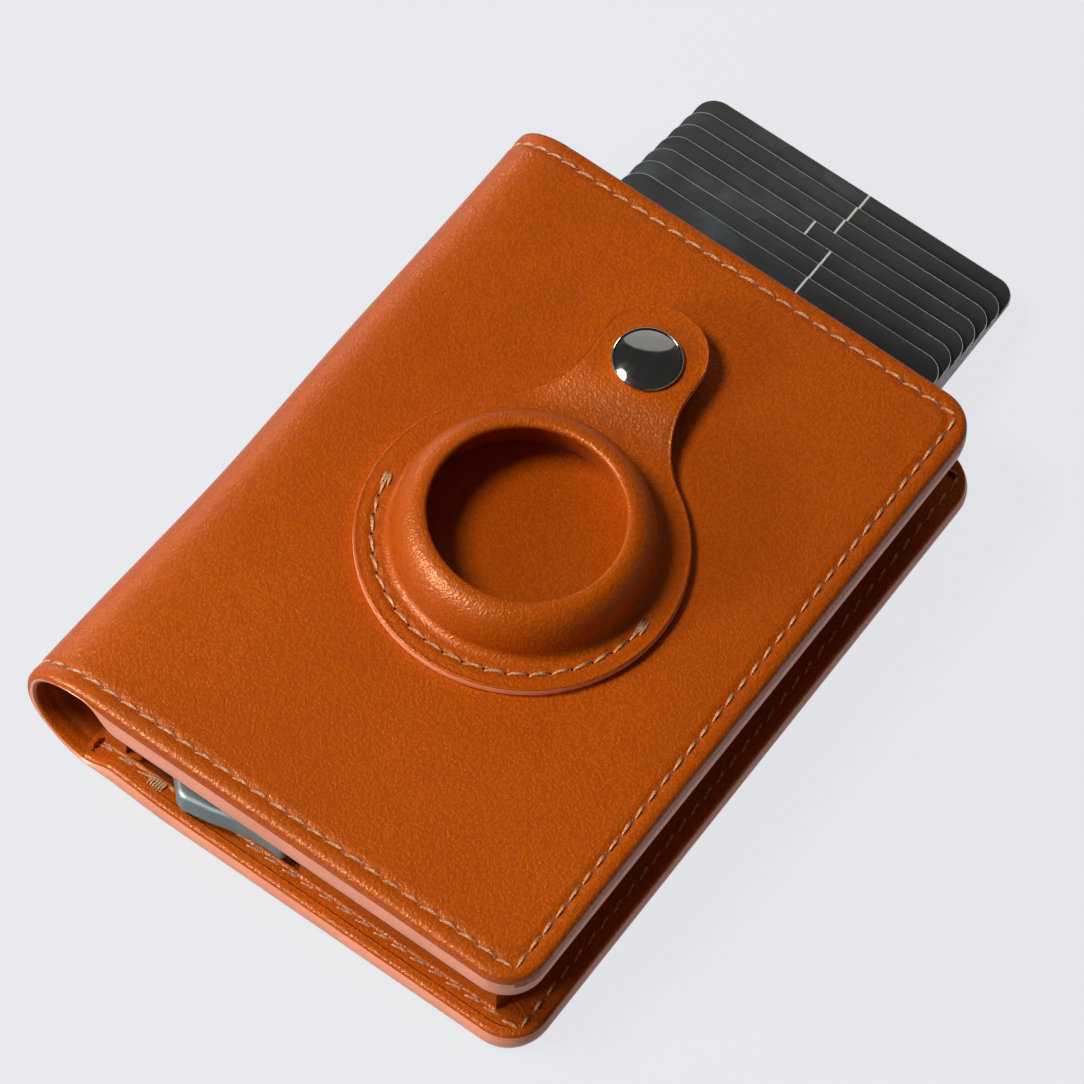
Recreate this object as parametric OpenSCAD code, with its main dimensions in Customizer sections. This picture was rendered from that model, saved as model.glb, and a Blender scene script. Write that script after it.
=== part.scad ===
// Folding leather wallet with a tracker tag pouch and a pop-up card case.
// It lies on its rear cover: X runs from the spine to the free edge, Y up the covers, Z through them.
// The origin is the centre of the rear cover's outer face.

/* [Covers] */
// Width over the spine and the rear cover, for cards of the usual width
cover_w = 83; // [78:1:92]
// Height of both covers
cover_h = 111; // [108:1:126]
// Radius of the covers' free corners
corner_r = 6; // [4:0.5:10]
// How far the front cover's free edge stands back from the rear cover's
front_setback = 1.9; // [1:0.1:4]
// Thickness of the outer hide
hide_t = 1.3; // [1:0.1:1.6]
// Width of the hide's solid rim round the board and the padding
rim_w = 2.2; // [1.5:0.1:3]
// Thickness of the rear cover's board
board_t = 1; // [0.8:0.1:1.4]
// Thickness of the rear cover's lining
rear_lining_t = 0.7; // [0.5:0.1:1]
// Thickness of the front cover's padding
padding_t = 2.2; // [1.6:0.1:3]
// Thickness of the front cover's lining
front_lining_t = 0.9; // [0.6:0.1:1.2]
// Thickness of each leather pocket panel inside the front cover
pocket_t = 0.85; // [0.6:0.05:1.1]
// Room for banknotes between the front lining and the note pocket
note_gap = 0.3; // [0.2:0.05:0.6]
// Height of the card slot panel
slot_panel_h = 74; // [60:1:90]
// Gap between the closed front cover and the card sleeve
cover_gap = 0.4; // [0.3:0.1:1]

/* [Spine fold] */
// How far the fold reaches in from the back of the spine
fold_w = 13.5; // [11:0.5:14]
// Height of the fold's widest point
fold_z = 11; // [9:0.5:12]
// Squareness of the fold's upper half, where 2 is an ellipse
fold_square = 2.6; // [2:0.1:3]
// Thickness of the lining inside the spine
spine_lining_t = 0.5; // [0.4:0.1:0.8]

/* [Card case] */
// Width of one card
card_w = 54; // [53:0.5:56]
// Length of one card
card_l = 85.6; // [84:0.2:88]
// Thickness of one card
card_t = 0.76; // [0.7:0.02:0.8]
// Distance from one card to the next
card_pitch = 0.9; // [0.86:0.02:1]
// Corner radius of a card
card_r = 3.2; // [2.5:0.1:4]
// Wall of the metal tube
tube_wall = 0.9; // [0.8:0.1:1.2]
// Width of the tube's round cheek beside the cards
tube_cheek = 4; // [3.5:0.5:5]
// Room for the lever below the cards
lever_bay = 16.3; // [16:0.1:18]
// How far the cards stand inside the mouth when they are in
mouth_recess = 0.6; // [0.4:0.1:1.5]
// Thickness of the end cap's flange
cap_t = 1.5; // [1.2:0.1:2]
// Thickness of each felt strip at the mouth
felt_t = 0.3; // [0.2:0.05:0.35]
// Thickness of the leather sleeve over the tube
sleeve_t = 1.1; // [0.9:0.1:1.4]
// Distance from the tube to the rear cover's free edge
case_inset = 7.5; // [6.5:0.5:9]
// Distance from the tube's lower end to the covers' lower edge
case_lift = 5.5; // [5:0.5:7]

/* [Lever] */
// Radius of the lever's pin
pin_r = 1; // [0.8:0.1:1.2]
// Radius of the lever's hub
hub_r = 3; // [2.6:0.1:3.2]
// Turn of the lever from let down to pushed in, in degrees
lever_turn = 52; // [48:1:54]
// Rise of the least lifted card
rise_min = 11.6; // [10:0.2:13]
// Extra rise from one card to the next
rise_step = 3.32; // [2.8:0.02:3.4]
// Height of the finger paddle, through the covers
paddle_t = 5.3; // [4:0.1:5.6]

/* [Tracker pouch] */
// Radius of the round tracker tag that the pouch holds
tag_r = 16; // [15:0.1:17]
// Thickness of the tracker tag
tag_t = 8; // [7:0.1:8.5]
// Clearance round the tag
tag_gap = 0.3; // [0.2:0.05:0.5]
// Thickness of the moulded pouch leather
pouch_t = 1.7; // [1.4:0.1:2]
// Radius of the pouch's round window
window_r = 13.5; // [12:0.1:14]
// Width of the stitched flange round the pouch
flange_w = 5; // [4.5:0.1:6]
// Pouch centre to the right of the covers' middle
pouch_x = 1.2; // [-4:0.2:4]
// Pouch centre above the covers' middle
pouch_y = -1.1; // [-4:0.1:2]
// Largest lift of the flap, in degrees
flap_turn = 40; // [30:1:45]

/* [Tab and press stud] */
// Distance from the pouch centre to the press stud
stud_reach = 32.1; // [31:0.1:36]
// Half the width of the tab
tab_half_w = 7.6; // [7:0.1:9]
// How far the tab's round end reaches past the stud, less its radius
tab_over = 2; // [1:0.1:4]
// Radius of the hollow curve from the tab to the flange
tab_fillet_r = 15; // [10:1:18]
// Lean of the tab towards the spine, in degrees
tab_lean = 3.7; // [0:0.1:6]
// Radius of the stud's cap
cap_r = 5.05; // [4.5:0.05:6]
// Height of the stud's cap
cap_h = 1.6; // [1.2:0.1:2.2]
// Radius of the cap's post
post_r = 1.55; // [1.3:0.05:1.8]
// Radius of the male stud's head
head_r = 1.9; // [1.7:0.05:2.1]

/* [Stitching] */
// Distance from an edge to its stitch line
stitch_inset = 2.7; // [2.4:0.1:3.2]
// Distance from one stitch to the next
stitch_pitch = 3.2; // [2.8:0.1:4]
// Length of one stitch
stitch_l = 2.5; // [2:0.1:2.7]
// Width of the thread
thread_w = 0.5; // [0.4:0.05:0.7]
// Height of the thread above the leather
thread_t = 0.25; // [0.2:0.05:0.35]

/* [Hidden] */
$fn = 96;
eps = 0.01;
card_n = 7;
// Clearance between a tube and what slides in it, and between still pieces that don't touch
slide_gap = 0.5;
rest_gap = 0.1;
run_gap = 0.05;
fold_gap_deg = 1.3;

// Heights of the layers, from the rear face up
board_z = hide_t;
rear_lining_z = board_z + board_t;
case_z = rear_lining_z + rear_lining_t;
stack_h = (card_n - 1) * card_pitch + card_t;
felt_gap = 0.12;
tube_in_h = stack_h + 2 * (felt_t + felt_gap);
tube_h = tube_in_h + 2 * tube_wall;
sleeve_top_z = case_z + tube_h + rest_gap;
slot_panel_z = sleeve_top_z + sleeve_t + cover_gap;
note_panel_z = slot_panel_z + pocket_t;
front_lining_z = note_panel_z + pocket_t + note_gap;
padding_z = front_lining_z + front_lining_t;
front_hide_z = padding_z + padding_t;
front_z = front_hide_z + hide_t;

// Plan of the covers, which grow with the cards they hold
usual_card_w = 54;
body_w = cover_w + card_w - usual_card_w;
free_x = body_w / 2;
front_free_x = free_x - front_setback;
fold_x = fold_w - body_w / 2;
upper_h = front_z - fold_z;

// Plan of the card case
tube_w = card_w + slide_gap * 2 + 2 * tube_cheek;
case_x = free_x - case_inset - tube_w / 2;
case_y = case_lift - cover_h / 2;
tube_l = lever_bay + card_l + mouth_recess;
mouth_y = case_y + tube_l;
card_in_y = case_y + lever_bay;
card_z = case_z + tube_wall + felt_t + felt_gap;
inner_w = card_w + 2 * slide_gap;
sleeve_x0 = case_x - tube_w / 2 - rest_gap - sleeve_t;
sleeve_x1 = case_x + tube_w / 2 + rest_gap + sleeve_t;
sleeve_y0 = case_y - cap_t - rest_gap - sleeve_t;
flange_top_z = case_z + sleeve_t;

// Rear seam: it keeps clear of the sleeve's lower wall
rear_inset = min(stitch_inset, case_lift - cap_t - rest_gap - sleeve_t - thread_w / 2 - 0.15);

// Lever and its cams: each layer of the lever lifts its own card in proportion to the turn
pivot_x = case_x - card_w / 2 + 3.5;
pivot_y = case_y + 3.5;
cam_clear = 0.4;
cam_h = card_in_y - cam_clear - pivot_y;
turn_rad = lever_turn * PI / 180;
arm_max_r = inner_w / 2 + case_x - pivot_x - 0.8;
slot_x0 = pivot_x - 5;
slot_x1 = pivot_x + 23.8;
lever_z = card_z - (card_pitch - card_t) / 2;
lever_h = card_n * card_pitch;
paddle_z = lever_z + (lever_h - paddle_t) / 2;

// Pouch
pouch_in_r = tag_r + tag_gap;
pouch_out_r = pouch_in_r + pouch_t;
flange_r = pouch_out_r + flange_w;
ceiling_h = tag_t + 0.2;
dome_h = ceiling_h + 1.3;
dome_r = 4.3;
foot_r = 1.2;
lip_r = 0.6;
ceiling_r = 1.5;
flap_split = 0.15;
stitch_ring_r = flange_r - 2.5;

// Press stud, as heights above the front cover
stud_base_t = 0.5;
stud_base_r = 4.5;
stud_neck_r = 1.45;
stud_neck_z = 1.05;
stud_head_z = 1.8;
socket_z = stud_base_t + rest_gap;
socket_roof_z = stud_head_z + 0.2;
tab_z = socket_roof_z + 0.6;
socket_r = cap_r - 0.2;
spring_r = 0.25;
spring_ring_r = head_r + 0.3 + spring_r;
rivet_r = 1.4;
rivet_head_r = 4;
rivet_head_t = 0.6;

// ---- Helpers ----

// A point on the fold's section, at angle t from -90 at the rear cover to 90 at the front, set in by i
function fold_point(t, i = 0) =
    let (p = t < 0 ? 1 : 2 / fold_square, h = (t < 0 ? fold_z : upper_h) - i)
    [fold_x - (fold_w - i) * pow(cos(t), p), fold_z + sign(t) * h * pow(abs(sin(t)), p)];

// Points of a band along the fold, from angle t0 to t1, between two depths below the outer face
function fold_band(t0, t1, i0, i1, n = 14) =
    concat([for (k = [0:n]) fold_point(t0 + (t1 - t0) * k / n, i0)],
           [for (k = [n:-1:0]) fold_point(t0 + (t1 - t0) * k / n, i1)]);

function arc(c, r, a0, a1, n = 8) = [for (k = [0:n]) c + r * [cos(a0 + (a1 - a0) * k / n), sin(a0 + (a1 - a0) * k / n)]];

function but_first(points) = [for (k = [1:len(points) - 1]) points[k]];

function turned(p, a) = [p[0] * cos(a) - p[1] * sin(a), p[0] * sin(a) + p[1] * cos(a)];

// Plan of a panel whose two corners at the free edge are round
module panel_plan(x0, x1, h, r) {
    translate([x0, -h / 2]) square([x1 - x0 - r, h]);
    translate([x0, r - h / 2]) square([x1 - x0, h - 2 * r]);
    for (s = [-1, 1]) translate([x1 - r, s * (h / 2 - r)]) circle(r);
}

module panel(x0, x1, z, t, inset = 0) {
    translate([0, 0, z]) linear_extrude(t) panel_plan(x0, x1 - inset, cover_h - 2 * inset, corner_r - inset);
}

// A section drawn in X and Z, run along Y from y0 to y1
module along_y(y0, y1) {
    translate([0, y1, 0]) rotate([90, 0, 0]) linear_extrude(y1 - y0) children();
}

module fold_solid(t0, t1, i0, i1) {
    along_y(-cover_h / 2, cover_h / 2) polygon(fold_band(t0, t1, i0, i1));
}

// The inside of the fold's section, as a limit for the front cover's layers
module inside_fold(inset) {
    along_y(-cover_h, cover_h)
        polygon(concat([for (k = [0:24]) fold_point(-90 + k * 7.5, inset)], [[free_x * 2, front_z * 2], [free_x * 2, -1]]));
}

module stitch(p, a, z) {
    translate([p[0], p[1], z]) rotate([0, 0, a])
        translate([-stitch_l / 2, -thread_w / 2, 0]) cube([stitch_l, thread_w, thread_t]);
}

// Even stitches between two points, half a pitch in from both ends
module stitch_run(p, q, z) {
    d = q - p;
    n = max(1, floor(norm(d) / stitch_pitch));
    for (k = [0:n - 1]) stitch(p + d * (k + 0.5) / n, atan2(d[1], d[0]), z);
}

// A stitch on the outside of the fold, at angle t, at height y
module fold_stitch(t, y) {
    a = fold_point(t);
    d = fold_point(t + 1) - fold_point(t - 1);
    translate([a[0], y, a[1]]) rotate([0, -atan2(d[1], d[0]), 0])
        translate([-stitch_l / 2, -thread_w / 2, eps]) cube([stitch_l, thread_w, thread_t]);
}

// ---- Rear cover, the root ----

module rear_cover_leather() {
    color("peru") union() {
        difference() {
            panel(fold_x, free_x, 0, hide_t + board_t);
            panel(fold_x - 1, free_x, board_z, board_t + 1, rim_w);
        }
        fold_solid(-90, -45 - fold_gap_deg, 0, hide_t);
    }
}

module rear_board() {
    color("dimgray") panel(fold_x + rest_gap, free_x, board_z, board_t, rim_w + rest_gap);
}

module rear_lining() {
    color("sienna") panel(fold_x - 2.5, free_x, rear_lining_z, rear_lining_t);
}

// Section of the tube's outside, grown by g, resting on height z
module tube_section(g, z) {
    r = tube_h / 2 + g;
    w = tube_w + 2 * g;
    translate([case_x - w / 2 + r, z - g]) square([w - 2 * r, 2 * r]);
    for (s = [-1, 1]) translate([case_x + s * (w / 2 - r), z - g + r]) circle(r);
}

module card_sleeve() {
    lever_top_z = lever_z + lever_h + 0.6;
    color("peru") difference() {
        union() {
            // Flange on the lining, then the raised cover over the tube
            translate([0, 0, case_z]) linear_extrude(sleeve_t) panel_plan(fold_x - 4, free_x, cover_h, corner_r);
            along_y(sleeve_y0, mouth_y) intersection() {
                union() {
                    tube_section(rest_gap + sleeve_t, case_z);
                    translate([sleeve_x0, case_z]) square([sleeve_x1 - sleeve_x0, tube_h / 2]);
                }
                translate([sleeve_x0 - 1, case_z]) square([sleeve_x1 - sleeve_x0 + 2, front_z]);
            }
        }
        // Room for the tube and its end cap
        along_y(case_y - cap_t - rest_gap, cover_h) {
            tube_section(rest_gap, case_z);
            translate([case_x - tube_w / 2 - rest_gap, case_z - 1]) square([tube_w + 2 * rest_gap, tube_h / 2 + 1]);
        }
        // Notch that the lever works through
        translate([slot_x0 - 0.4, -cover_h, flange_top_z])
            cube([slot_x1 - slot_x0 + 0.8, cover_h + case_y, lever_top_z - flange_top_z]);
    }
}

module case_tube() {
    color("silver") difference() {
        along_y(case_y, mouth_y) tube_section(0, case_z);
        translate([case_x - inner_w / 2, case_y - 1, case_z + tube_wall]) cube([inner_w, tube_l + 2, tube_in_h]);
        translate([pivot_x, pivot_y, case_z - 1]) cylinder(r = pin_r, h = tube_h + 2);
    }
}

module case_end_cap() {
    plug_l = 1.5;
    plug_x0 = pivot_x + 30;
    plug_x1 = case_x + inner_w / 2 - rest_gap;
    color("slategray") difference() {
        union() {
            along_y(case_y - cap_t, case_y) tube_section(0, case_z);
            translate([plug_x0, case_y - eps, case_z + tube_wall + rest_gap])
                cube([plug_x1 - plug_x0, plug_l, tube_in_h - 2 * rest_gap]);
        }
        translate([slot_x0, case_y - cap_t - 1, case_z + tube_wall]) cube([slot_x1 - slot_x0, cap_t + 1 + eps, tube_in_h]);
    }
}

module friction_felts() {
    felt_l = 7;
    color("black") for (z = [case_z + tube_wall, case_z + tube_wall + tube_in_h - felt_t])
        translate([case_x - card_w / 2 + 3, mouth_y - 1 - felt_l, z]) cube([card_w - 6, felt_l, felt_t]);
}

module lever_pin() {
    color("lightgray") translate([pivot_x, pivot_y, case_z]) cylinder(r = pin_r, h = tube_h);
}

module rear_stitching() {
    x1 = free_x - rear_inset;
    y1 = cover_h / 2 - rear_inset;
    gap_x0 = pivot_x + 1;
    gap_x1 = pivot_x + 12;
    color("goldenrod") {
        stitch_run([fold_x - 3.6, -y1], [gap_x0, -y1], flange_top_z);
        stitch_run([gap_x1, -y1], [x1, -y1], flange_top_z);
        stitch_run([x1, -y1 + 1], [x1, y1 - 1], flange_top_z);
        stitch_run([sleeve_x1 + 0.5, y1], [x1, y1], flange_top_z);
        stitch_run([fold_x - 3.6, y1], [sleeve_x0 - 0.2, y1], flange_top_z);
    }
}

// ---- Spine ----

module spine_leather() {
    color("peru") fold_solid(fold_gap_deg - 45, 45 - fold_gap_deg, 0, hide_t);
}

module spine_lining() {
    color("sienna") fold_solid(fold_gap_deg - 45, 45 - fold_gap_deg, hide_t, hide_t + spine_lining_t);
}

module spine_stitching() {
    color("goldenrod") for (s = [-1, 1], t = [-36:12:36]) fold_stitch(t, s * (cover_h / 2 - stitch_inset));
}

// ---- Front cover ----

stud_at = [pouch_x, pouch_y] + stud_reach * [-sin(tab_lean), cos(tab_lean)];

module at_stud(z = front_z) {
    translate([stud_at[0], stud_at[1], z]) children();
}

module front_cover_leather() {
    color("peru") difference() {
        union() {
            difference() {
                panel(fold_x, front_free_x, padding_z, padding_t + hide_t);
                panel(fold_x - 1, front_free_x, padding_z - 1, padding_t + 1, rim_w);
            }
            fold_solid(45 + fold_gap_deg, 90, 0, hide_t);
        }
        at_stud(front_hide_z - 1) cylinder(r = rivet_r + run_gap, h = hide_t + 2);
    }
}

// A layer of the front cover, with its spine end shaped to the fold
module front_layer(z, t, inset, reach) {
    intersection() {
        panel(fold_x - reach, front_free_x, z, t, inset);
        inside_fold(hide_t + spine_lining_t + 0.35);
    }
}

module front_padding() {
    color("ivory") difference() {
        front_layer(padding_z, padding_t, rim_w + rest_gap, 7);
        at_stud(front_hide_z - rivet_head_t - rest_gap) cylinder(r = rivet_head_r + rest_gap, h = rivet_head_t + 1);
    }
}

module front_lining() {
    color("sienna") front_layer(front_lining_z, front_lining_t, 0, 10);
}

module note_pocket_panel() {
    rim = 3;
    thumb_r = 9;
    color("peru") difference() {
        front_layer(note_panel_z, pocket_t + note_gap, 0, 10);
        // Room for the notes, open at the upper edge, and a thumb notch
        translate([fold_x - 6, rim - cover_h / 2, note_panel_z + pocket_t])
            cube([front_free_x - rim - fold_x + 6, cover_h, note_gap + 1]);
        translate([(fold_x + front_free_x) / 2, cover_h / 2 + 3, note_panel_z - 1]) cylinder(r = thumb_r, h = pocket_t + note_gap + 2);
    }
}

module card_slot_panel() {
    color("peru") difference() {
        front_layer(slot_panel_z, pocket_t, 0, 11);
        translate([-body_w, slot_panel_h - cover_h / 2, slot_panel_z - 1]) cube([2 * body_w, cover_h, pocket_t + 2]);
    }
}

module front_stitching() {
    x1 = front_free_x - stitch_inset;
    y1 = cover_h / 2 - stitch_inset;
    color("goldenrod") {
        for (s = [-1, 1]) {
            stitch_run([fold_x + 2, s * y1], [x1, s * y1], front_z);
            for (t = [54, 65]) fold_stitch(t, s * y1);
        }
        stitch_run([x1, 1 - y1], [x1, y1 - 1], front_z);
    }
}

// ---- Tracker pouch ----

// Half section of the moulded dome and the curled lip round its window, standing on the flange
function dome_section(foot) = concat(
    [[pouch_in_r, 0]], foot,
    arc([pouch_out_r + foot_r, pouch_t + foot_r], foot_r, 270, 180, 5),
    arc([pouch_out_r - dome_r, dome_h - dome_r], dome_r, 0, 88, 9),
    arc([window_r + lip_r, dome_h - lip_r], lip_r, 90, 180, 4),
    [[window_r, ceiling_h]],
    arc([pouch_in_r - ceiling_r, ceiling_h - ceiling_r], ceiling_r, 90, 0, 5));

module dome_half() {
    rotate_extrude(angle = 180) polygon(dome_section([[pouch_out_r + foot_r, 0]]));
}

module at_pouch() {
    translate([pouch_x, pouch_y, front_z]) children();
}

// The flap's own centre, which leaves the clearance at the fold line
module at_flap() {
    translate([pouch_x, pouch_y + flap_split, front_z]) children();
}

module tracker_pouch() {
    color("peru") at_pouch() rotate([0, 0, 180]) rotate_extrude(angle = 180)
        polygon(dome_section([[flange_r, 0], [flange_r, pouch_t]]));
}

module pouch_stitching() {
    n = floor(PI * stitch_ring_r / stitch_pitch);
    color("goldenrod") for (k = [0:n - 1]) {
        a = 180 + 180 * (k + 0.5) / n;
        stitch([pouch_x, pouch_y] + stitch_ring_r * [cos(a), sin(a)], a + 90, front_z + pouch_t);
    }
}

// Plan of the flap's flange and tab, with the tab's axis along Y: hollow curves join the two
module flap_plan() {
    side = tab_half_w + tab_fillet_r;
    v = sqrt(pow(flange_r + tab_fillet_r, 2) - side * side);
    a = atan2(v, side);
    tab = concat(but_first(arc([side, v], tab_fillet_r, 180 + a, 180, 10)),
                 arc([0, stud_reach + tab_over], tab_half_w, 0, 90, 14));
    other_side = [for (k = [len(tab) - 2:-1:0]) [-tab[k][0], tab[k][1]]];
    polygon(concat(arc([0, 0], flange_r, -tab_lean, a, 24), tab, other_side,
                   arc([0, 0], flange_r, 180 - a, 180 - tab_lean, 24)));
}

// Side view of the flange and tab: level, then up to rest on the stud's socket
module tab_rise() {
    v0 = pouch_out_r + 2;
    v1 = stud_reach - cap_r - 0.5;
    n = 10;
    foot = [for (k = [0:n]) let (u = k / n) [v0 + (v1 - v0) * u, tab_z * u * u * (3 - 2 * u)]];
    far = stud_reach + 20;
    polygon(concat([[-flange_r, 0]], foot, [[far, tab_z], [far, tab_z + pouch_t]],
                   [for (k = [n:-1:0]) foot[k] + [0, pouch_t]], [[-flange_r, pouch_t]]));
}

module pouch_flap() {
    color("peru") difference() {
        at_flap() {
            dome_half();
            rotate([0, 0, tab_lean]) difference() {
                intersection() {
                    linear_extrude(dome_h) flap_plan();
                    rotate([0, 0, 90]) rotate([90, 0, 0]) linear_extrude(3 * flange_r, center = true) tab_rise();
                }
                translate([0, 0, -1]) cylinder(r = pouch_in_r + pouch_t / 2, h = dome_h);
            }
        }
        at_stud() cylinder(r = post_r + run_gap, h = 2 * tab_z + pouch_t);
    }
}

// ---- Press stud ----

module snap_stud() {
    color("gray") at_stud() {
        difference() {
            cylinder(r = stud_base_r, h = stud_base_t);
            translate([0, 0, -1]) cylinder(r = rivet_r + run_gap, h = stud_base_t + 2);
        }
        difference() {
            union() {
                cylinder(r = stud_neck_r + 0.4, h = stud_neck_z);
                translate([0, 0, stud_neck_z - eps]) cylinder(r = head_r, h = stud_head_z - stud_neck_z + eps);
            }
            translate([0, 0, -1]) cylinder(r = rivet_r + run_gap, h = stud_neck_z + 1);
        }
    }
}

module stud_rivet() {
    color("gray") at_stud(front_hide_z) {
        translate([0, 0, -rivet_head_t]) cylinder(r = rivet_head_r, h = rivet_head_t);
        translate([0, 0, -eps]) cylinder(r = rivet_r, h = hide_t + stud_neck_z - rest_gap);
    }
}

module snap_cap() {
    dome_sphere_r = (cap_r * cap_r + cap_h * cap_h) / (2 * cap_h);
    top = tab_z + pouch_t;
    color("dimgray") at_stud() union() {
        translate([0, 0, socket_roof_z]) cylinder(r = post_r, h = top - socket_roof_z + eps);
        intersection() {
            translate([0, 0, top + cap_h - dome_sphere_r]) sphere(dome_sphere_r);
            translate([0, 0, top]) cylinder(r = cap_r, h = cap_h);
        }
    }
}

module snap_socket() {
    groove = spring_r + run_gap;
    color("gray") at_stud() difference() {
        translate([0, 0, socket_z]) cylinder(r = socket_r, h = tab_z - socket_z);
        translate([0, 0, socket_z - 1]) cylinder(r = spring_ring_r + groove, h = socket_roof_z - socket_z + 1);
        cylinder(r = post_r + run_gap, h = tab_z + 1);
    }
}

module snap_spring() {
    color("silver") at_stud(front_z + (socket_z + socket_roof_z) / 2)
        rotate_extrude() translate([spring_ring_r, 0]) circle(spring_r, $fn = 24);
}

// ---- Lever and cards ----

function card_rise(i) = rise_min + rise_step * (i - 1);

// The cam that lifts card i: an involute, so the card rises evenly. Points are for the let down lever.
function cam(i, n = 16) =
    let (k = card_rise(i) / turn_rad,
         raw = [for (j = [0:n]) let (a = lever_turn * j / n, h = cam_h + k * a * PI / 180) turned([k, h], -a)])
    [for (p = raw) if (norm(p) <= arm_max_r) p];

// Plan of the lever's layer for card i, turned to the pushed-in pose
module arm_plan(i) {
    edge = cam(i);
    tip = edge[len(edge) - 1];
    under = [[0, -hub_r], [tip[0] * 0.55, tip[1] * 0.3 - 2.2], tip - [1.2, 3]];
    rotate(lever_turn) {
        circle(hub_r);
        polygon(concat(under, [for (j = [len(edge) - 1:-1:0]) edge[j]], [[0, hub_r]]));
    }
}

// Two round ends and the straight sides between them
module link_plan(p, rp, q, rq) {
    d = q - p;
    a = atan2(d[1], d[0]);
    b = acos((rp - rq) / norm(d));
    translate(p) circle(rp);
    translate(q) circle(rq);
    polygon([for (e = [[p, rp, b], [q, rq, b], [q, rq, -b], [p, rp, -b]]) e[0] + e[1] * [cos(a + e[2]), sin(a + e[2])]]);
}

module eject_lever() {
    heel = [6.3, -8.2];
    heel_r = 2.6;
    toe = [20.5, -6];
    toe_r = 1;
    color("slategray") translate([pivot_x, pivot_y, 0]) difference() {
        union() {
            for (i = [1:card_n]) translate([0, 0, lever_z + (card_n - i) * card_pitch]) linear_extrude(card_pitch) arm_plan(i);
            translate([0, 0, paddle_z]) linear_extrude(paddle_t) {
                link_plan([0, 0], hub_r, heel, heel_r);
                link_plan(heel, heel_r, toe, toe_r);
                polygon([[0, 0], heel, toe]);
            }
        }
        translate([0, 0, lever_z - 1]) cylinder(r = pin_r + run_gap, h = lever_h + 2);
    }
}

module card(i) {
    color("black") translate([case_x, card_in_y + card_rise(i) + card_l / 2, card_z + (card_n - i) * card_pitch])
        linear_extrude(card_t) {
            square([card_w - 2 * card_r, card_l], center = true);
            square([card_w, card_l - 2 * card_r], center = true);
            for (sx = [-1, 1], sy = [-1, 1]) translate([sx * (card_w / 2 - card_r), sy * (card_l / 2 - card_r)]) circle(card_r);
        }
}

rear_cover_leather();
rear_board();
rear_lining();
card_sleeve();
case_tube();
case_end_cap();
friction_felts();
lever_pin();
rear_stitching();
spine_leather();
spine_lining();
spine_stitching();
front_cover_leather();
front_padding();
front_lining();
note_pocket_panel();
card_slot_panel();
front_stitching();
tracker_pouch();
pouch_stitching();
snap_stud();
stud_rivet();
pouch_flap();
snap_cap();
snap_socket();
snap_spring();
eject_lever();
card(1);  // card_1
card(2);  // card_2
card(3);  // card_3
card(4);  // card_4
card(5);  // card_5
card(6);  // card_6
card(7);  // card_7
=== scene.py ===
import math
import random

import bmesh
import bpy
from mathutils import Matrix, Vector, kdtree, noise


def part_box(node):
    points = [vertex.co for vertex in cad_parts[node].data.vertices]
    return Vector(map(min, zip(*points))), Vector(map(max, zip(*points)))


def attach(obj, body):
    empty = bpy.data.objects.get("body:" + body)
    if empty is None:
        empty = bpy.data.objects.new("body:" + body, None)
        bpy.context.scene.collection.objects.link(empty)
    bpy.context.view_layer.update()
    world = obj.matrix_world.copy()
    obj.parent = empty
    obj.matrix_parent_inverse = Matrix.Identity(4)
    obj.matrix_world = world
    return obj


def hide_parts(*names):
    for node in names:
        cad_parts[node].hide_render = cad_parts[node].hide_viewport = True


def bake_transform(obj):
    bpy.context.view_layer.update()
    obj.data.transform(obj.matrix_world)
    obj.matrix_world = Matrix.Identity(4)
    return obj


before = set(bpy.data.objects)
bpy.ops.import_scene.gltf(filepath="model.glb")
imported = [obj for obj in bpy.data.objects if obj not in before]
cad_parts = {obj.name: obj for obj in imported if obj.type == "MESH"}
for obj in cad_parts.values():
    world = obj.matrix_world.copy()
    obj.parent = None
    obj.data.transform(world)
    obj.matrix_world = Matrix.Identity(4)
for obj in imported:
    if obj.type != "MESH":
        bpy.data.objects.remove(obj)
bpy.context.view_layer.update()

mm = 0.001  # shapes are drawn in millimetres and scaled at the end
scene = bpy.context.scene
random.seed(4)


# Camera, lights and floor

cameraView = {
    "target": (0.519, 5.847, 10.0),
    "distance": 856.55,
    "azimuth": 27.427,
    "elevation": 60.941,
    "roll": 9.128,
    "lens": 207.09,
}


def addCamera():
    azimuth, elevation, roll = (math.radians(cameraView[k]) for k in ("azimuth", "elevation", "roll"))
    back = Vector((math.sin(azimuth) * math.cos(elevation), -math.cos(azimuth) * math.cos(elevation),
                   math.sin(elevation)))
    level = Vector((math.cos(azimuth), math.sin(azimuth), 0))
    right = level * math.cos(roll) + level.cross(-back) * math.sin(roll)
    turn = Matrix((right, back.cross(right), back)).transposed().to_4x4()
    place = (Vector(cameraView["target"]) + back * cameraView["distance"]) * mm
    data = bpy.data.cameras.new("camera")
    data.lens = cameraView["lens"]
    data.sensor_width = 36
    camera = bpy.data.objects.new("camera", data)
    camera.matrix_world = Matrix.Translation(place) @ turn
    scene.collection.objects.link(camera)
    scene.camera = camera


addCamera()
print("camera placed")

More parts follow.
